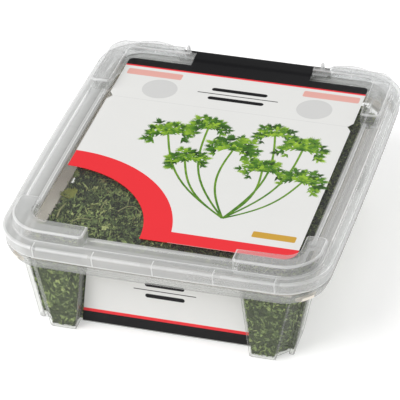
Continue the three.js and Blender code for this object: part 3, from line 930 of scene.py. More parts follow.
@dataclass
class Lid:
    """The frosted lid: skirt, crest, bead, flat panel, four stacking ridges, two thumb holds and two pegs."""

    rim: RimPlan
    panel: float = 32.6
    under: float = 31.7
    top: float = 36.2
    ridge_out: float = 3.2
    ridge_in: float = 9.6
    front_end_x: float = 22.4
    front_end_y: float = 40.0
    back_end_x: float = 20.2
    back_end_y: float = 28.0
    back_foot_y: float = 50.3
    hold_middle: Pair = (32.6, 44.4)
    hold_radius: float = 11.4
    hold_wall: float = 1.6
    hold_top: float = 51.7
    notch_half: float = 24.6
    notch_y: float = 56.8
    bevel: float = 0.6
    gusset_pitch: float = 18.0
    leg_middle: float = 43.4
    leg_half: float = 1.9
    leg_back: float = 48.5
    peg_place: Pair = (22.1, 55.6)
    bump_place: Pair = (44.6, 30.4)
    notch_low: float = 28.4
    notch_high: float = 32.2

    def placed(self, outline: Plan, sx: int, sy: int) -> Plan:
        """A quarter's outline moved to one corner of the lid."""
        return [self.rim.bowed(sx * x, sy * y) for x, y in outline]

    def front_ridge(self, grow: float) -> Plan:
        """The front ridge's L, smaller by grow all round."""
        out_x = self.rim.half_x - self.ridge_out - grow
        out_y = self.rim.half_y - self.ridge_out - grow
        in_x = self.rim.half_x - self.ridge_in + grow
        in_y = self.rim.half_y - self.ridge_in + grow
        out_r, in_r = self.rim.corner - self.ridge_out - grow, 4 + grow
        end_x, end_y = self.front_end_x + grow, self.front_end_y + grow
        round_end = 1.6
        return [
            (end_x, in_y + 0.3),
            *arc((end_x + round_end, out_y - round_end), round_end, 180, 90, 4),
            *arc((out_x - out_r, out_y - out_r), out_r, 90, 0, 12),
            *arc((out_x - round_end, end_y + round_end), round_end, 0, -90, 4),
            *arc((in_x + 0.8, end_y + 0.8), 0.8, -90, -180, 2),
            *arc((in_x - in_r, in_y - in_r), in_r, 0, 90, 8),
        ]

    def back_ridge(self, grow: float) -> Plan:
        """The back ridge's outline with the arched thumb hold behind it."""
        out_x = self.rim.half_x - self.ridge_out - grow
        in_x = self.rim.half_x - self.ridge_in + grow
        in_y = self.back_foot_y + grow
        end_x, end_y = self.back_end_x + grow, self.back_end_y + grow
        round_end, in_r = 1.6, 2.5
        return [
            (end_x, in_y),
            (end_x, self.hold_top + 0.4 - grow),
            *arc(self.hold_middle, self.hold_radius - grow, 137, 60, 14),
            *arc((out_x - 7, 48.0 - grow), 7, 60, 0, 8),
            *arc((out_x - round_end, end_y + round_end), round_end, 0, -90, 4),
            *arc((in_x + 0.8, end_y + 0.8), 0.8, -90, -180, 2),
            *arc((in_x - in_r, in_y - in_r), in_r, 0, 90, 6),
        ]

    def pockets(self, sx: int) -> list[Piece]:
        """The two recesses in the top of one thumb hold."""
        web, reach = 0.8, self.hold_radius - self.hold_wall
        start = math.degrees(math.asin((self.hold_top - self.hold_middle[1]) / reach))
        middle = math.degrees(math.acos(web / 2 / reach))
        curve = arc(self.hold_middle, reach, start, middle, 8)
        made = []
        for side in (-1, 1):
            plan = [(self.hold_middle[0] + side * web / 2, self.hold_top)]
            plan += [(self.hold_middle[0] + side * (x - self.hold_middle[0]), y) for x, y in curve]
            made.append(prism("pocket", self.placed(plan, sx, 1), self.panel + 1.2, self.top + 1))
        return made

    def skin(self) -> Piece:
        """The rim and the flat panel, hollow underneath, with the plug that fits into the tub."""
        skirt = [(0.75, 28.2), (0.7, 28.5), (0.08, 31.4), (0.0, 31.7), (0.08, 32.0), (0.3, 32.25)]
        crest = [(0.7, 32.38), (2.5, 32.42), (2.75, 32.55), (3.0, 32.72), (3.2, 32.78), (3.4, 32.72)]
        crest += [(3.65, 32.55), (3.9, 32.45)]
        bead = [(7.0, 32.58), (7.25, 32.85), (7.5, 33.0), (8.1, 33.0), (8.35, 32.85), (8.6, self.panel)]
        outer = self.rim.loft("lid_shell", skirt + crest + bead)
        inside = [(1.65, 27.2), (1.6, 28.2), (0.95, 31.2), (1.15, 31.5), (1.6, self.under)]
        hollow = self.rim.loft("hollow", inside)
        plug = self.rim.loft("plug", [(6.4, 29.6), (6.2, 30.4), (6.2, self.panel - 0.2)])
        plug_room = self.rim.loft("plug_room", [(7.0, 29.0), (7.0, self.under)])
        combine(plug, [plug_room], Cut.REMOVE)
        combine(outer, [hollow], Cut.REMOVE)
        return combine(outer, [plug], Cut.JOIN)

    def front_gussets(self) -> list[Piece]:
        """Five thin plates through the front rim, which show as soft upright lines."""
        made = []
        half, proud = 0.18, 0.03
        for k in range(-2, 3):
            x = k * self.gusset_pitch - 0.5
            out = -self.rim.half_y * (1 - self.rim.bow / self.rim.half_y * (x / self.rim.half_x) ** 2)
            face = [(0.72 - proud, 28.5), (0.08 - proud, 31.4), (-0.01, 31.7), (0.08 - proud, 32.0)]
            face += [(0.3, 32.25 + proud), (0.7, 32.38 + proud), (2.6, 32.42 + proud), (2.9, 32.4)]
            face.append((1.8, 28.7))
            rings = [[(x + side * half, out + y, z) for y, z in face] for side in (-1, 1)]
            made.append(outwards(loft("gusset", rings)))
        return made

    def build(self) -> Piece:
        """Makes the whole lid."""
        lid = self.skin()
        low = self.under - 0.02
        raised: list[Piece] = []
        rooms: list[Piece] = []
        for sx in (-1, 1):
            outlines = (self.placed(self.front_ridge(0), sx, -1), self.placed(self.back_ridge(0), sx, 1))
            raised += [prism("ridge", outline, low, self.top, self.bevel, 4) for outline in outlines]
            foot, ceiling, wall = self.under - 3, self.top - 1, 1.1
            rooms.append(prism("room", self.placed(self.front_ridge(wall), sx, -1), foot, ceiling))
            left, right = sx * self.leg_middle - self.leg_half, sx * self.leg_middle + self.leg_half
            rooms.append(block("room", (left, self.back_end_y + wall, foot), (right, self.leg_back, ceiling)))
            rooms += self.pockets(sx)
            raised.append(self.peg(sx * self.peg_place[0], self.peg_place[1]))
            raised.append(self.bump(sx * self.bump_place[0], self.bump_place[1]))
        y0, y1 = self.notch_y - 0.8, self.rim.half_y - 1.2
        half, low, high = self.notch_half, self.notch_low, self.notch_high
        middles = [sx * (half + 0.4) for sx in (-1, 1)]
        ends = [block("end", (x - 0.4, y0, low), (x + 0.4, y1, high)) for x in middles]
        combine(lid, self.front_gussets() + ends, Cut.JOIN)
        combine(lid, [block("notch", (-half, self.notch_y, 27.0), (half, 66.0, 34.0))], Cut.REMOVE)
        wall = block("notch_wall", (-half - 0.4, y0, low), (half + 0.4, self.notch_y, high))
        combine(lid, [wall], Cut.JOIN)
        combine(lid, raised, Cut.JOIN)
        combine(lid, rooms, Cut.REMOVE)
        return smooth(lid)

    def peg(self, x: float, y: float) -> Piece:
        """A thin round peg with a domed top."""
        profile = [(0.85, 31.8), (0.75, 33.2), (0.6, 34.6), (0.55, 35.2), (0.38, 35.6), (0.15, 35.78)]
        return loft("peg", [at_height(arc((x, y), r, 0, 360 * 15 / 16, 15), z) for r, z in profile])

    def bump(self, x: float, y: float) -> Piece:
        """A round swelling at the end of a side leg."""
        rings = []
        for k in range(9):
            turn = -math.pi / 2 * 0.9 + math.pi * 0.95 * k / 8
            radius = max(2.3 * math.cos(turn), 0.12)
            rings.append(at_height(arc((x, y), radius, 0, 360 * 19 / 20, 19), 33.9 + 2.3 * math.sin(turn)))
        return loft("bump", rings)


# The sheets


@dataclass
class LidSheet:
    """The printed sheet on the panel and its seal, which runs over the rim to the tub's flange."""

    left: float = -39.6
    right: float = 38.6
    front: float = -48.8
    back: float = 48.4
    window: float = 32.0
    notch: float = 24.7
    low: float = 32.78
    thick: float = 0.16
    seal_half: float = 19.4
    foot_half: float = 24.0

    def plan(self) -> Plan:
        """The flat part's outline."""
        corner, tear = 4.5, 1.4
        return [
            (self.left, self.front + self.window),
            *arc((self.left, self.front), self.window, 90, 0, 40)[1:],
            (self.right - corner, self.front),
            *arc((self.right - corner, self.front + corner), corner, -90, 0, 10)[1:],
            (self.right, self.notch - 2.2),
            (self.right - tear, self.notch),
            (self.right, self.notch + 2.2),
            *arc((self.right - 1.5, self.back - 1.5), 1.5, 0, 90, 5),
            *arc((self.left + 1.5, self.back - 1.5), 1.5, 90, 180, 5),
            (self.left, self.notch + 2.2),
            (self.left + tear, self.notch),
            (self.left, self.notch - 2.2),
        ]

    def seal_line(self) -> tuple[Plan, Plan]:
        """The seal's path in Y and Z: the part over the rim, and the foot behind it."""
        rise = 33.18
        over = [(47.8, self.low), (50.2, self.low), (50.9, 32.84), (51.5, 33.02), (52.1, 33.14), (52.8, rise)]
        over += [(54.4, rise), (55.6, rise - 0.01), (56.3, 33.12)]
        foot = [(56.8, 33.02), (57.25, 32.78), (57.5, 32.4), (57.75, 31.8), (58.6, 30.4), (59.5, 29.1)]
        foot += [(60.0, 28.3), (60.2, 27.7), (60.15, 26.9), (59.8, 26.2), (59.5, 25.4), (59.1, 24.5)]
        return over, foot

    def strip(self, name: str, line: Plan, half: float) -> Piece:
        """A bent strip of the sheet along a path in Y and Z."""
        outer = []
        for k, (y, z) in enumerate(line):
            before, after = Vector(line[max(k - 1, 0)]), Vector(line[min(k + 1, len(line) - 1)])
            along = (after - before).normalized()
            outer.append((y - along.y * self.thick, z + along.x * self.thick))
        loop = line + outer[::-1]
        count = len(loop)
        verts = [(x, y, z) for x in (-half, half) for y, z in loop]
        faces = [[i, (i + 1) % count, (i + 1) % count + count, i + count] for i in range(count)]
        quads = len(line) - 1
        for k in range(quads):
            ring = [k, count - 1 - k, count - 2 - k, k + 1]
            faces.append(ring)
            faces.append([i + count for i in reversed(ring)])
        return outwards(new_object(name, verts, faces))

    def build(self) -> Piece:
        """Makes the whole sheet."""
        sheet = prism("lid_sheet", self.plan(), self.low, self.low + self.thick)
        over, foot = self.seal_line()
        strips = [self.strip("over", over + foot, self.seal_half), self.strip("foot", foot, self.foot_half)]
        return smooth(combine(sheet, strips, Cut.JOIN))


@dataclass
class FrontSheet:
    """The sheet on the tub's front panel, wider at its foot."""

    low: float = 0.9
    high: float = 23.7
    clear: float = 0.12
    thick: float = 0.14

    def build(self, tub: Tub) -> Piece:
        """Makes the sheet against the tub's front panel.

        Args:
            tub: The tub that carries it.

        Returns:
            The sheet.
        """
        rows = 12
        rings = []
        for k in range(rows + 1):
            z = self.low + (self.high - self.low) * k / rows
            at = tub.walls(z)
            half, back = at["post_in"] - 0.5, -at["panel_y"] - self.clear
            front = -at["panel_y"] - (self.clear + self.thick)
            rings.append([(-half, front, z), (half, front, z), (half, back, z), (-half, back, z)])
        return outwards(loft("front_sheet", rings))



@dataclass
class LeafPrint:
    """Printed sprays of lobed leaves on the lid's sheet, fanned out from one foot."""

    height: float = 32.95
    thick: float = 0.03
    seed: int = 7
    steps: int = 14
    stalk_half: float = 0.34
    foot: Pair = (13.0, -33.0)
    tips: tuple[Point, ...] = (
        (-15.0, 7.0, 1.0),
        (27.0, 8.0, 1.0),
        (-4.0, 13.0, 0.9),
        (17.0, 14.0, 0.85),
        (31.0, -9.0, 0.9),
        (6.5, 3.0, 1.05),
        (18.0, -6.0, 0.9),
        (-6.0, -6.0, 0.85),
    )

    def leaflet(self, random: Random, foot: Vector, turn: float, size: float) -> Plan:
        """One leaflet's outline: a fan of three lobes with fine teeth.

        Args:
            random: The seeded source of variation.
            foot: Where its stalk ends.
            turn: Which way it points, in radians.
            size: Its length.

        Returns:
            The outline, counter-clockwise.
        """
        count, spread = 30, 1.25
        points = [(foot.x - 0.1 * size * math.cos(turn), foot.y - 0.1 * size * math.sin(turn))]
        for k in range(count + 1):
            angle = (k / count - 0.5) * 2 * spread
            lobe = 0.42 + 0.58 * abs(math.cos(2.4 * angle))
            tooth = 1.0 if k % 2 else 0.66
            reach = size * lobe * tooth * (0.93 + 0.14 * random.random()) * (1 - 0.16 * abs(angle))
            points.append((foot.x + reach * math.cos(turn + angle), foot.y + reach * math.sin(turn + angle)))
        return points

    def spine(self, tip: Vector) -> list[Vector]:
        """The bent line of one spray's stalk, from the foot to its tip."""
        start = Vector(self.foot)
        run = tip - start
        side = Vector((-run.y, run.x)).normalized() * (0.1 * run.length * (1 if tip.x < start.x else -1))
        steps = self.steps
        return [start + run * (k / steps) + side * math.sin(math.pi * k / steps) for k in range(steps + 1)]

    def shapes(self) -> list[tuple[Plan, float, float]]:
        """Every outline in the order of printing, with the tones at its foot and at its edge."""
        random = Random(self.seed)
        made: list[tuple[Plan, float, float]] = []
        lines = [self.spine(Vector(tip[:2])) for tip in self.tips]
        for line in lines:
            alongs = [line[min(k + 1, self.steps)] - line[max(k - 1, 0)] for k in range(self.steps + 1)]
            sides = [along.orthogonal().normalized() * self.stalk_half for along in alongs]
            both = list(zip(line, sides))
            outline = [tuple(p - n) for p, n in both] + [tuple(p + n) for p, n in reversed(both)]
            made.append((outline, 0.45, 0.6))
        for (x, y, scale), line in zip(self.tips, lines):
            ahead = line[-1] - line[-3]
            heading = math.atan2(ahead.y, ahead.x)
            for row in range(6):
                reach = (10.0 - 1.9 * row) * scale
                count = 15 - 2 * row
                for k in range(count):
                    side = (k / max(count - 1, 1) - 0.5) * (4.4 - 0.5 * row) + 0.3 * (random.random() - 0.5)
                    turn = heading + side
                    near = reach * (0.5 + 0.22 * random.random())
                    foot = Vector((x + near * math.cos(turn), y + near * math.sin(turn)))
                    size = (3.0 - 0.15 * row) * scale * (0.75 + 0.5 * random.random())
                    tone = 0.12 + 0.62 * random.random() + 0.03 * row
                    plan = self.leaflet(random, foot, turn + 0.5 * (random.random() - 0.5), size)
                    made.append((plan, tone - 0.3, tone + 0.25))
        return made

    def build(self) -> Piece:
        """Makes every outline as a thin raised body, each a little above the one before."""
        shapes = self.shapes()
        verts: list[Point] = []
        faces: list[list[int]] = []
        tones: list[float] = []
        for order, (plan, inner, outer) in enumerate(shapes):
            level = self.height + self.thick * (0.1 + 0.9 * order / len(shapes))
            low = self.height - 0.02
            first, count = len(verts), len(plan)
            verts += [(x, y, low) for x, y in plan] + [(x, y, level) for x, y in plan]
            root = Vector(plan[0])
            reach = max((Vector(p) - root).length for p in plan)
            tones += [inner + (outer - inner) * (Vector(p) - root).length / reach for p in plan] * 2
            faces.append([first + count + i for i in range(count)])
            faces.append([first + i for i in reversed(range(count))])
            for i in range(count):
                j = (i + 1) % count
                faces.append([first + i, first + j, first + count + j, first + count + i])
        made = new_object("sheet_leaves", verts, faces)
        shade = made.data.attributes.new("tone", "FLOAT", "POINT")
        shade.data.foreach_set("value", tones)
        return made


# The flakes


@dataclass
class Heap:
    """The loose dried flakes: a lumpy core, and thousands of small flakes over it."""

    tub: Tub
    top: float = 25.4
    clear: float = 0.25
    step: float = 0.8
    room_top: float = 29.0
    back_slope: float = 0.1
    back_start: float = 22.0
    left_drop: float = 0.7
    left_start: float = -33.0

    def height(self, x: float, y: float) -> float:
        """The heap's height at one place: lumpy, and lower towards the back and along the left wall."""
        lumps = 0.6 * math.sin(0.55 * x + 1.3) * math.cos(0.48 * y) + 0.4 * math.sin(0.9 * y + 0.4 * x)
        fine = 0.5 * noise.noise(Vector((x * 0.5, y * 0.5, 3.0)))
        back_fall = self.back_slope * max(0.0, y - self.back_start + 2 * math.sin(0.3 * x))
        beside, along = (self.left_start - x) / 5, (y + 25) / 5
        left_fall = self.left_drop * min(max(beside, 0.0), 1.0) * min(max(along, 0.0), 1.0)
        return self.top - 0.6 + lumps + fine - back_fall - left_fall

    def core(self) -> Piece:
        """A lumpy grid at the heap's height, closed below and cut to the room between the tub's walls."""
        nx, ny = int(90 / self.step), int(112 / self.step)
        verts = []
        for j in range(ny + 1):
            for i in range(nx + 1):
                x, y = -45 + 90 * i / nx, -56 + 112 * j / ny
                verts.append((x, y, self.height(x, y)))
        row = nx + 1
        cells = [j * row + i for j in range(ny) for i in range(nx)]
        faces = [[k, k + 1, k + row + 1, k + row] for k in cells]
        rim = [i for i in range(nx)] + [j * row + nx for j in range(ny)]
        rim += [ny * row + i for i in range(nx, 0, -1)] + [j * row for j in range(ny, 0, -1)]
        first = len(verts)
        verts += [(verts[k][0], verts[k][1], -5.0) for k in rim]
        for k in range(len(rim)):
            j = (k + 1) % len(rim)
            faces.append([rim[j], rim[k], first + k, first + j])
        faces.append([first + k for k in reversed(range(len(rim)))])
        made = new_object("heap_core", verts, faces)
        return combine(made, [self.tub.room("room", self.clear, self.room_top)], Cut.KEEP)

    def surface(self, core: Piece, name: str, upright: Pair, endways: Pair) -> Piece:
        """A copy of the core's faces whose normals lean between two limits.

        Args:
            core: The heap's core.
            name: The new object's name.
            upright: The least and the greatest Z of a face's normal.
            endways: The least and the greatest size of its Y.

        Returns:
            The copied faces.
        """
        made = core.copy()
        made.data = core.data.copy()
        made.name = name

        def wanted(normal: Vector) -> bool:
            """True where a normal lies between the limits."""
            return upright[0] <= normal.z < upright[1] and endways[0] <= abs(normal.y) < endways[1]

        with form_of(link(made)) as form:
            unwanted = [f for f in form.faces if not wanted(f.normal)]
            bmesh.ops.delete(form, geom=unwanted, context="FACES")
        return made

    def flake(self, name: str, lobes: int, length: float, width: float, curl: float, seed: int) -> Piece:
        """One thin closed flake with a lobed edge, folded and curled.

        Args:
            name: The object's name.
            lobes: How many teeth its edge has.
            length: Its length, in millimetres.
            width: Its width, in millimetres.
            curl: How far its ends rise.
            seed: What its irregular edge comes from.

        Returns:
            The flake, flat on XY round the origin.
        """
        random = Random(seed)
        count = 2 * lobes
        thick = 0.09
        verts = []
        for k in range(count):
            angle = 2 * math.pi * k / count
            reach = (1.0 if k % 2 else 0.62) * (0.8 + 0.4 * random.random())
            x, y = 0.5 * length * reach * math.cos(angle), 0.5 * width * reach * math.sin(angle)
            lift = curl * (x / length) ** 2 * 4 + 0.5 * abs(y) * (0.6 + 0.8 * random.random())
            verts.append((x, y, lift))
        verts.append((0.0, 0.0, thick))
        verts.append((0.0, 0.0, -thick))
        faces = []
        for k in range(count):
            j = (k + 1) % count
            faces.append([k, j, count])
            faces.append([j, k, count + 1])
        return new_object(name, verts, faces)

    def stem(self, name: str, length: float) -> Piece:
        """One short thin stalk, bent in the middle."""
        rings = []
        for k in range(4):
            t = k / 3
            x, lift, radius = (t - 0.5) * length, 0.25 * math.sin(math.pi * t), 0.12 * (1 - 0.3 * t)
            turns = [math.tau * i / 4 for i in range(4)]
            rings.append([(x, radius * math.cos(a), lift + radius * math.sin(a)) for a in turns])
        return outwards(loft(name, rings))

    def scatter_tree(self, shapes: Sequence[Piece], material: Material) -> NodeTree:
        """The node tree that strews flakes over a surface.

        Args:
            shapes: The flakes to choose from.
            material: What every flake is made of.

        Returns:
            The geometry node tree.
        """
        tree = bpy.data.node_groups.new("strewn flakes", "GeometryNodeTree")
        kinds = {"Geometry": "NodeSocketGeometry", "Seed": "NodeSocketInt"}
        names = ("Geometry", "Density", "Seed", "Tilt", "Lift", "Smallest", "Largest", "Rise", "Shade")
        for name in names:
            kind = kinds.get(name, "NodeSocketFloat")
            tree.interface.new_socket(name=name, in_out="INPUT", socket_type=kind)
        tree.interface.new_socket(name="Geometry", in_out="OUTPUT", socket_type="NodeSocketGeometry")
        build = Tree(tree)
        given = build.add("NodeGroupInput").outputs
        seed, tilt = given["Seed"], given["Tilt"]

        def draw(kind: str, first: int, low: Any, high: Any, offset: float) -> NodeSocket:
            """A random value for each flake, from a node whose inputs for its kind start at a number."""
            inputs = {first: low, first + 1: high, "Seed": build.plus(seed, offset) if offset else seed}
            return build.add("FunctionNodeRandomValue", inputs, data_type=kind).outputs[first // 2]

        points = build.add(
            "GeometryNodeDistributePointsOnFaces",
            {"Mesh": given["Geometry"], "Density": given["Density"], "Seed": seed},
            distribute_method="RANDOM",
        ).outputs
        choice = build.add("GeometryNodeJoinGeometry")
        for shape in reversed(shapes):
            inputs = {"Object": shape, "As Instance": True}
            info = build.add("GeometryNodeObjectInfo", inputs, transform_space="ORIGINAL")
            tree.links.new(info.outputs["Geometry"], choice.inputs[0])
        low_tilt = build.times(tilt, -1.0)
        lowest = build.add("ShaderNodeCombineXYZ", {0: low_tilt, 1: low_tilt, 2: 0.0}).outputs[0]
        highest = build.add("ShaderNodeCombineXYZ", {0: tilt, 1: tilt, 2: math.tau}).outputs[0]
        spin = draw("FLOAT_VECTOR", 0, lowest, highest, 0.0)
        turned = build.add(
            "FunctionNodeRotateRotation",
            {"Rotation": points["Rotation"], "Rotate By": spin},
            rotation_space="LOCAL",
        )
        span = draw("FLOAT", 2, given["Smallest"], given["Largest"], 5.0)
        scale = build.add("ShaderNodeCombineXYZ", {0: span, 1: span, 2: build.times(span, given["Rise"])})
        strewn = build.add(
            "GeometryNodeInstanceOnPoints",
            {
                "Points": points["Points"],
                "Instance": choice.outputs[0],
                "Pick Instance": True,
                "Instance Index": draw("INT", 4, 0, len(shapes) - 1, 9.0),
                "Rotation": turned.outputs[0],
                "Scale": scale.outputs[0],
            },
        ).outputs[0]
        up = build.add("ShaderNodeCombineXYZ", {2: draw("FLOAT", 2, 0.0, given["Lift"], 17.0)}).outputs[0]
        shift = {"Instances": strewn, "Translation": up, "Local Space": False}
        moved = build.add("GeometryNodeTranslateInstances", shift).outputs[0]
        patch = build.noise(build.add("GeometryNodeInputPosition").outputs[0], 170.0, 1.0)
        drift = build.times(build.math("SUBTRACT", patch, 0.47), 0.9)
        shaded = build.math("SUBTRACT", drift, given["Shade"])
        tone = build.plus(draw("FLOAT", 2, 0.0, 1.0, 23.0), shaded, True)
        marked = build.add(
            "GeometryNodeStoreNamedAttribute",
            {"Geometry": moved, "Name": "tone", "Value": tone},
            data_type="FLOAT",
            domain="INSTANCE",
        )
        real = build.add("GeometryNodeRealizeInstances", {"Geometry": marked.outputs[0]})
        finished = build.add("GeometryNodeSetMaterial", {"Geometry": real.outputs[0], "Material": material})
        build.feed(build.add("NodeGroupOutput"), {"Geometry": finished.outputs[0]})
        return tree

    def strew(self, surface: Piece, tree: NodeTree, values: dict[str, float]) -> Piece:
        """Strews flakes over a surface and keeps only the flakes, as a plain mesh.

        Args:
            surface: The faces that carry them, which become the flakes.
            tree: The scatter tree.
            values: A value for each of its named inputs.

        Returns:
            The flakes.
        """
        modifier = surface.modifiers.new("flakes", "NODES")
        modifier.node_group = tree
        for item in tree.interface.items_tree:
            if item.in_out == "INPUT" and item.name in values:
                modifier[item.identifier] = values[item.name]
        return bake(surface)

    def tuck(self, flakes: Piece, room: BVHTree) -> Piece:
        """Brings every corner of a flake that would pass through the tub's walls or floor back inside them.

        Args:
            flakes: The flakes.
            room: The room between the walls, for finding its nearest face.

        Returns:
            The same flakes.
        """
        for vert in flakes.data.vertices:
            nearest, normal, _, _ = room.find_nearest(vert.co)
            if (vert.co - nearest).dot(normal) > 0:
                vert.co = nearest - normal * (TUCK_GAP * MM)
        return flakes

    def build(self, leaf: Material, dark: Material) -> None:
        """Makes the five layers of flakes and the core under them.

        Args:
            leaf: The flakes' material.
            dark: The core's material.
        """
        core = self.core()
        sizes = [(3, 2.6, 1.1, 0.5), (4, 2.2, 1.5, 0.3), (3, 3.1, 0.8, 0.7), (3, 1.6, 1.0, 0.2)]
        sizes += [(3, 2.2, 0.7, 0.6), (4, 1.9, 1.2, 0.4), (2, 3.6, 0.5, 0.6), (3, 3.0, 0.5, 0.3)]
        letters = zip("abcdefgh", sizes)
        shapes = [self.flake(f"flake_{letter}", *size, k + 1) for k, (letter, size) in enumerate(letters)]
        shapes.append(self.stem("flake_stem", 3.6))
        tree = self.scatter_tree(shapes, leaf)
        names = ("Density", "Seed", "Tilt", "Lift", "Smallest", "Largest", "Rise", "Shade")
        top, fine, walls, base = (
            dict(zip(names, values))
            for values in (
                (1.25e6, 3, 0.8, 0.8 * MM, 0.6, 1.45, 1.0, 0.0),
                (0.9e6, 21, 1.1, 1.3 * MM, 0.35, 0.8, 1.0, 0.0),
                (2.0e6, 8, 0.08, 0.0, 0.4, 0.9, 0.25, 0.2),
                (0.8e6, 14, 0.08, 0.0, 0.4, 1.1, 0.25, 0.2),
            )
        )
        layers = [
            ("heap_flakes_top", (0.35, 1.01), (0.0, 1.01), top),
            ("heap_flakes_fine", (0.35, 1.01), (0.0, 1.01), fine),
            ("heap_flakes_ends", (-0.5, 0.35), (0.7, 1.01), walls),
            ("heap_flakes_sides", (-0.5, 0.35), (0.0, 0.7), walls),
            ("heap_flakes_base", (-1.01, -0.5), (0.0, 1.01), base),
        ]
        space = self.tub.room("space", WALL_GAP, self.room_top)
        with form_of(space, write=False) as form:
            room = BVHTree.FromBMesh(form)
        shapes.append(space)
        for name, upright, endways, values in layers:
            flakes = self.strew(self.surface(core, name, upright, endways), tree, values)
            dress(self.tuck(flakes, room), leaf, Slot.LEAF)
        core.data.shade_smooth()
        dress(core, dark, Slot.LEAF, "parsley_flakes")
        for shape in shapes:
            discard(shape)



@dataclass
class StrayBits:
    """The few larger bits that stand out on the heap: pale stalks and one yellow-green leaf on the ledge."""

    stalks: tuple[tuple[Point, ...], ...] = (
        ((-37.4, -35.1, 26.2), (-37.5, -31.3, 26.6), (-36.9, -27.9, 26.5)),
        ((-26.0, -27.7, 26.4), (-25.6, -25.6, 26.9), (-25.1, -23.6, 27.1)),
        ((-20.5, -28.2, 26.6), (-18.2, -26.2, 27.4), (-15.6, -25.9, 27.3), (-13.1, -28.0, 26.4)),
        ((-32.3, -36.4, 26.5), (-29.7, -34.7, 26.9), (-26.7, -34.5, 26.6)),
        ((-30.5, -14.0, 26.2), (-28.5, -12.6, 26.8), (-26.0, -12.4, 26.3)),
    )
    radius: float = 0.24
    leaf_foot: Point = (-36.2, -24.2, 25.7)
    leaf_reach: Point = (-4.0, 6.1, 0.3)
    leaf_size: float = 5.4

    def stalk(self, name: str, line: Sequence[Point], radius: float) -> Piece:
        """A thin tapered stalk on a smooth curve through a few points.

        Args:
            name: The object's name.
            line: The points.
            radius: Its radius at the first of them.

        Returns:
            The stalk.
        """
        points = [Vector(p) for p in line]
        steps, sides = 5 * (len(points) - 1), 8
        spine = []
        for k in range(steps + 1):
            t = k / steps * (len(points) - 1)
            i = min(int(t), len(points) - 2)
            before, after = points[max(i - 1, 0)], points[min(i + 2, len(points) - 1)]
            a, b, u = points[i], points[i + 1], t - i
            square = (2 * before - 5 * a + 4 * b - after) * u * u
            cube = (3 * a - before - 3 * b + after) * u * u * u
            spine.append(0.5 * ((2 * a) + (b - before) * u + square + cube))
        rings = []
        for k, here in enumerate(spine):
            along = (spine[min(k + 1, steps)] - spine[max(k - 1, 0)]).normalized()
            side = along.cross(UP).normalized()
            up = side.cross(along)
            size = radius * (1 - 0.45 * k / steps)
            turns = [math.tau * i / sides for i in range(sides)]
            offsets = [(side * (size * math.cos(t)), up * (0.7 * size * math.sin(t))) for t in turns]
            rings.append([tuple(here + out + lift) for out, lift in offsets])
        made = outwards(loft(name, rings))
        made.data.shade_smooth()
        return made

    def leaf(self, name: str, foot: Vector, reach: Vector, size: float) -> Piece:
        """A larger leaf with a fringed edge, standing on the ledge.

        Args:
            name: The object's name.
            foot: Where its stalk ends.
            reach: Which way it spreads.
            size: Its radius.

        Returns:
            The leaf, a thin closed body.
        """
        random = Random(5)
        ahead = reach.normalized()
        side = ahead.cross(UP).normalized()
        teeth, rows = 12, 3
        verts: list[Point] = []
        for depth in (0.07, -0.07):
            for r in range(1, rows + 1):
                for k in range(2 * teeth + 1):
                    angle = (k / (2 * teeth) - 0.5) * 1.5
                    ragged = (1.0 if k % 2 else 0.8) * (1 - 0.3 * angle * angle) if r == rows else 1.0
                    span = size * r / rows * ragged * (0.9 + 0.2 * random.random() if r == rows else 1.0)
                    rise = 0.35 * math.sin(3 * angle) * r / rows + 0.5 * (r / rows) ** 2 + depth
                    spot = foot + ahead * span * math.cos(angle) + side * span * math.sin(angle)
                    verts.append(tuple(spot + Vector((0, 0, rise))))
        count = 2 * teeth + 1
        layer = rows * count
        verts += [tuple(foot + Vector((0, 0, d))) for d in (0.07, -0.07)]
        faces: list[list[int]] = []
        for base, turn in ((0, 1), (layer, -1)):
            apex = 2 * layer + (0 if base == 0 else 1)
            for k in range(count - 1):
                faces.append([apex, base + k, base + k + 1][::turn])
                for r in range(rows - 1):
                    a = base + r * count + k
                    faces.append([a, a + count, a + count + 1, a + 1][::turn])
        edge = [(rows - 1) * count + k for k in range(count)]
        faces += [[edge[k], edge[k] + layer, edge[k + 1] + layer, edge[k + 1]] for k in range(count - 1)]
        for k in (0, count - 1):
            line = [2 * layer] + [r * count + k for r in range(rows)]
            under = [2 * layer + 1] + [layer + r * count + k for r in range(rows)]
            faces += [[line[i], line[i + 1], under[i + 1], under[i]] for i in range(rows)]
        return outwards(new_object(name, verts, faces))

    def build(self, stalk: Material, leaf: Material) -> None:
        """Makes every stray bit.

        Args:
            stalk: The pale stalks' material.
            leaf: The yellow-green leaf's material.
        """
        for k, line in enumerate(self.stalks):
            radius = self.radius * (1.3 if k == 0 else 0.8)
            dress(self.stalk(f"stalk_{k + 1}", line, radius), stalk, Slot.LEAF)
        foot, reach = Vector(self.leaf_foot), Vector(self.leaf_reach)
        dress(self.leaf("ledge_leaf", foot, reach, self.leaf_size), leaf, Slot.LEAF)


# The studio


@dataclass(frozen=True)
class Lamp:
    """One soft area lamp, in metres and watts."""

    name: str
    place: Point
    size: float
    power: float


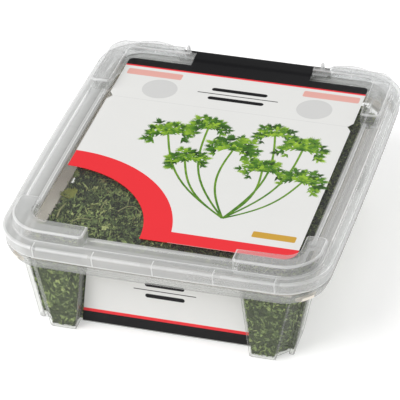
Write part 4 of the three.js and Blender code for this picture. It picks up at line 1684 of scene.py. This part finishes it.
@dataclass
class Studio:
    """The camera at the photograph's angle, a pale floor and soft light."""

    azimuth: float = 16.13
    elevation: float = 33.83
    roll: float = -1.026
    focal: float = 236.18
    place: Point = (0.1827, -0.6428, 0.4637)
    sky: float = 0.22
    lamps: tuple[Lamp, ...] = (
        Lamp("key", (-0.6, -0.6, 0.85), 0.8, 12.0),
        Lamp("back", (0.24, 0.85, 0.75), 0.5, 5.0),
        Lamp("side", (0.95, -0.1, 0.6), 0.5, 1.6),
    )

    def camera(self) -> None:
        """Makes the camera."""
        data = bpy.data.cameras.new("view")
        data.lens = self.focal
        data.sensor_width = SENSOR
        data.clip_start, data.clip_end = 0.01, 20.0
        view = link(bpy.data.objects.new("view", data))
        bpy.context.scene.camera = view
        a, e, r = (math.radians(v) for v in (self.azimuth, self.elevation, self.roll))
        back = Vector((math.sin(a) * math.cos(e), -math.cos(a) * math.cos(e), math.sin(e)))
        right = (-back).cross(UP).normalized()
        up = right.cross(-back)
        across = right * math.cos(r) + up * math.sin(r)
        above = -right * math.sin(r) + up * math.cos(r)
        turn = Matrix((across, above, back)).transposed()
        view.matrix_world = Matrix.Translation(self.place) @ turn.to_4x4()

    def light(self) -> None:
        """Makes the sky and the lamps."""
        world = bpy.data.worlds.new("studio")
        bpy.context.scene.world = world
        world.use_nodes = True
        ground = world.node_tree.nodes["Background"]
        ground.inputs["Color"].default_value = (1.0, 1.0, 1.0, 1.0)
        ground.inputs["Strength"].default_value = self.sky
        for lamp in self.lamps:
            data = bpy.data.lights.new(lamp.name, "AREA")
            data.size, data.energy = lamp.size, lamp.power
            made = link(bpy.data.objects.new(lamp.name, data))
            made.location = lamp.place
            aim = Vector((0.0, 0.0, 0.02)) - Vector(lamp.place)
            made.rotation_euler = aim.to_track_quat("-Z", "Y").to_euler()

    def floor(self) -> None:
        """Makes the plain pale floor."""
        half, low = 2500.0, -0.05
        corners = [(-half, -half, low), (half, -half, low), (half, half, low), (-half, half, low)]
        made = new_object("floor", corners, [[0, 1, 2, 3]])
        material, tree, end = new_material("pale floor")
        white = (0.75, 0.75, 0.75, 1.0)
        tree.skin(end, white, 0.8, 0.5, **{"Emission Color": white, "Emission Strength": 0.6})
        made.data.materials.append(material)

    def build(self) -> None:
        """Makes the whole studio."""
        self.camera()
        self.light()
        self.floor()
        bpy.context.scene.view_settings.view_transform = "Standard"
        bpy.context.scene.cycles.transparent_max_bounces = 32


RED: Colour = (0.86, 0.035, 0.045)
BLACK: Colour = (0.006, 0.006, 0.007)
WHITE: Colour = (0.80, 0.80, 0.78)
PINK: Colour = (0.80, 0.42, 0.37)
GREY: Colour = (0.66, 0.66, 0.65)
GOLD: Colour = (0.62, 0.36, 0.05)

LID_PLASTIC = PlasticFinish(
    name="frosted lid plastic",
    colour=(0.73, 0.73, 0.72),
    tint=(0.975, 0.98, 0.982),
    opacity=0.27,
    # across paints light: milkier and lighter on the left side, under the key lamp.
    across=(0.04, -0.06),
    along=(0.06, -0.03),
    haze=0.05,
    edge=0.3,
    shine=0.04,
    roughness=0.22,
    streak=0.6,
    bump=0.02,
    # Painted highlight lines on the lid's rounded edges.
    painted_edge_opacity=0.3,
    painted_edge_shading=(0.87, 0.87, 0.87),
    thick_from=33.4,
    thick_opacity=-0.06,
    thick_painted_edge_opacity=0.34,
    clear_half=(41.0, 51.6),
    clear_share=0.05,
)
TUB_PLASTIC = PlasticFinish(
    name="clear tub plastic",
    colour=(0.62, 0.63, 0.62),
    tint=(0.98, 0.982, 0.975),
    opacity=0.008,
    haze=0.01,
    edge=0.3,
    shine=0.022,
    roughness=0.07,
    streak=0.4,
    bump=0.02,
    # Painted dark refraction lines on the tub's rounded edges.
    painted_edge_opacity=0.4,
    painted_edge_shading=(0.33, 0.33, 0.32),
    thick_from=24.2,
    thick_opacity=0.28,
    thick_painted_edge_opacity=0.1,
    # The ledge colour: beige tone, made lighter as painted light in the shade under the lid.
    ledge=(45.5, 56.0, 24.8, 0.75),
    ledge_tone_and_painted_light=(0.95, 0.88, 0.78),
    ledge_opacity=0.6,
)
LID_PAPER = PaperFinish(
    name="lid sheet paper",
    ground=WHITE,
    ring_centre=(-39.6, -48.8),
    ring=(31.5, 40.5),
    ring_colour=RED,
    prints=(
        Printed((-29.0, 40.4, 30.0), (9.0, 1.7, 20.0), 0.6, PINK),
        Printed((28.5, 40.4, 30.0), (9.0, 1.7, 20.0), 0.6, PINK),
        Printed((-25.0, 32.0, 30.0), (5.6, 5.6, 20.0), 5.5, GREY),
        Printed((25.0, 32.0, 30.0), (5.6, 5.6, 20.0), 5.5, GREY),
        Printed((0.0, 24.7, 30.0), (37.6, 0.07, 20.0), 0.0, GREY),
        Printed((0.0, 33.4, 30.0), (13.0, 0.2, 20.0), 0.0, BLACK),
        Printed((0.0, 36.0, 30.0), (9.0, 0.9, 20.0), 0.9, BLACK),
        Printed((0.0, 30.8, 30.0), (9.0, 0.9, 20.0), 0.9, BLACK),
        Printed((0.0, 44.9, 30.0), (60.0, 1.2, 20.0), 0.0, RED),
        Printed((0.0, 54.5, 30.0), (60.0, 10.0, 20.0), 0.0, BLACK),
        Printed((16.5, -46.1, 30.0), (25.0, 2.7, 20.0), 0.0, RED),
        Printed((30.0, -38.6, 30.0), (6.5, 1.5, 20.0), 0.5, GOLD),
    ),
)
FRONT_PAPER = PaperFinish(
    name="front sheet paper",
    ground=WHITE,
    prints=(
        Printed((0.0, -49.5, 4.5), (60.0, 5.0, 1.2), 0.0, RED),
        Printed((0.0, -49.5, 1.0), (60.0, 5.0, 3.6), 0.0, BLACK),
        Printed((0.0, -49.5, 15.6), (9.5, 5.0, 0.14), 0.0, BLACK),
        Printed((0.0, -49.5, 17.6), (6.0, 5.0, 0.7), 0.7, BLACK),
        Printed((0.0, -49.5, 13.6), (6.0, 5.0, 0.7), 0.7, BLACK),
    ),
)
PRINT_INK = InkFinish(
    name="printed leaf ink", dark=(0.006, 0.022, 0.004), middle=(0.06, 0.19, 0.012), light=(0.36, 0.58, 0.04)
)
FLAKE = LeafFinish(
    name="dried leaf",
    stops=(
        (0.0, (0.03, 0.045, 0.016)),
        (0.25, (0.09, 0.13, 0.042)),
        (0.55, (0.2, 0.27, 0.085)),
        (0.8, (0.33, 0.43, 0.14)),
        (1.0, (0.54, 0.59, 0.23)),
    ),
)
DARK_HEAP = LeafFinish("shaded leaf", ((0.0, (0.05, 0.07, 0.022)), (1.0, (0.14, 0.18, 0.06))))
STALK = LeafFinish("pale stalk", ((0.0, (0.4, 0.4, 0.17)), (1.0, (0.56, 0.52, 0.27))), roughness=0.5)
YELLOW_LEAF = LeafFinish("yellow-green leaf", ((0.0, (0.3, 0.32, 0.06)), (1.0, (0.52, 0.5, 0.15))))


def main() -> None:
    """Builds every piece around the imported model, in order."""
    logging.basicConfig(level=logging.INFO, format="%(message)s")
    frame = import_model()
    log.info("packed model loaded: %s", bool(frame))
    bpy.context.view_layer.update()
    Studio().build()
    haze, printed, paper = haze_group(), printed_box_group(), paper_group()
    rim = RimPlan()
    tub = Tub(rim)
    Heap(tub).build(FLAKE.build(), DARK_HEAP.build())
    StrayBits().build(STALK.build(), YELLOW_LEAF.build())
    dress(tub.build(), TUB_PLASTIC.build(haze, printed), Slot.TUB, "tub")
    dress(Lid(rim).build(), LID_PLASTIC.build(haze, printed), Slot.LID, "lid")
    dress(LidSheet().build(), LID_PAPER.build(paper, printed), Slot.LID_SHEET, "lid_label")
    dress(LeafPrint().build(), PRINT_INK.build(paper), Slot.LID_SHEET)
    dress(FrontSheet().build(tub), FRONT_PAPER.build(paper, printed), Slot.FRONT_SHEET, "front_label")


if __name__ == "__main__":
    main()
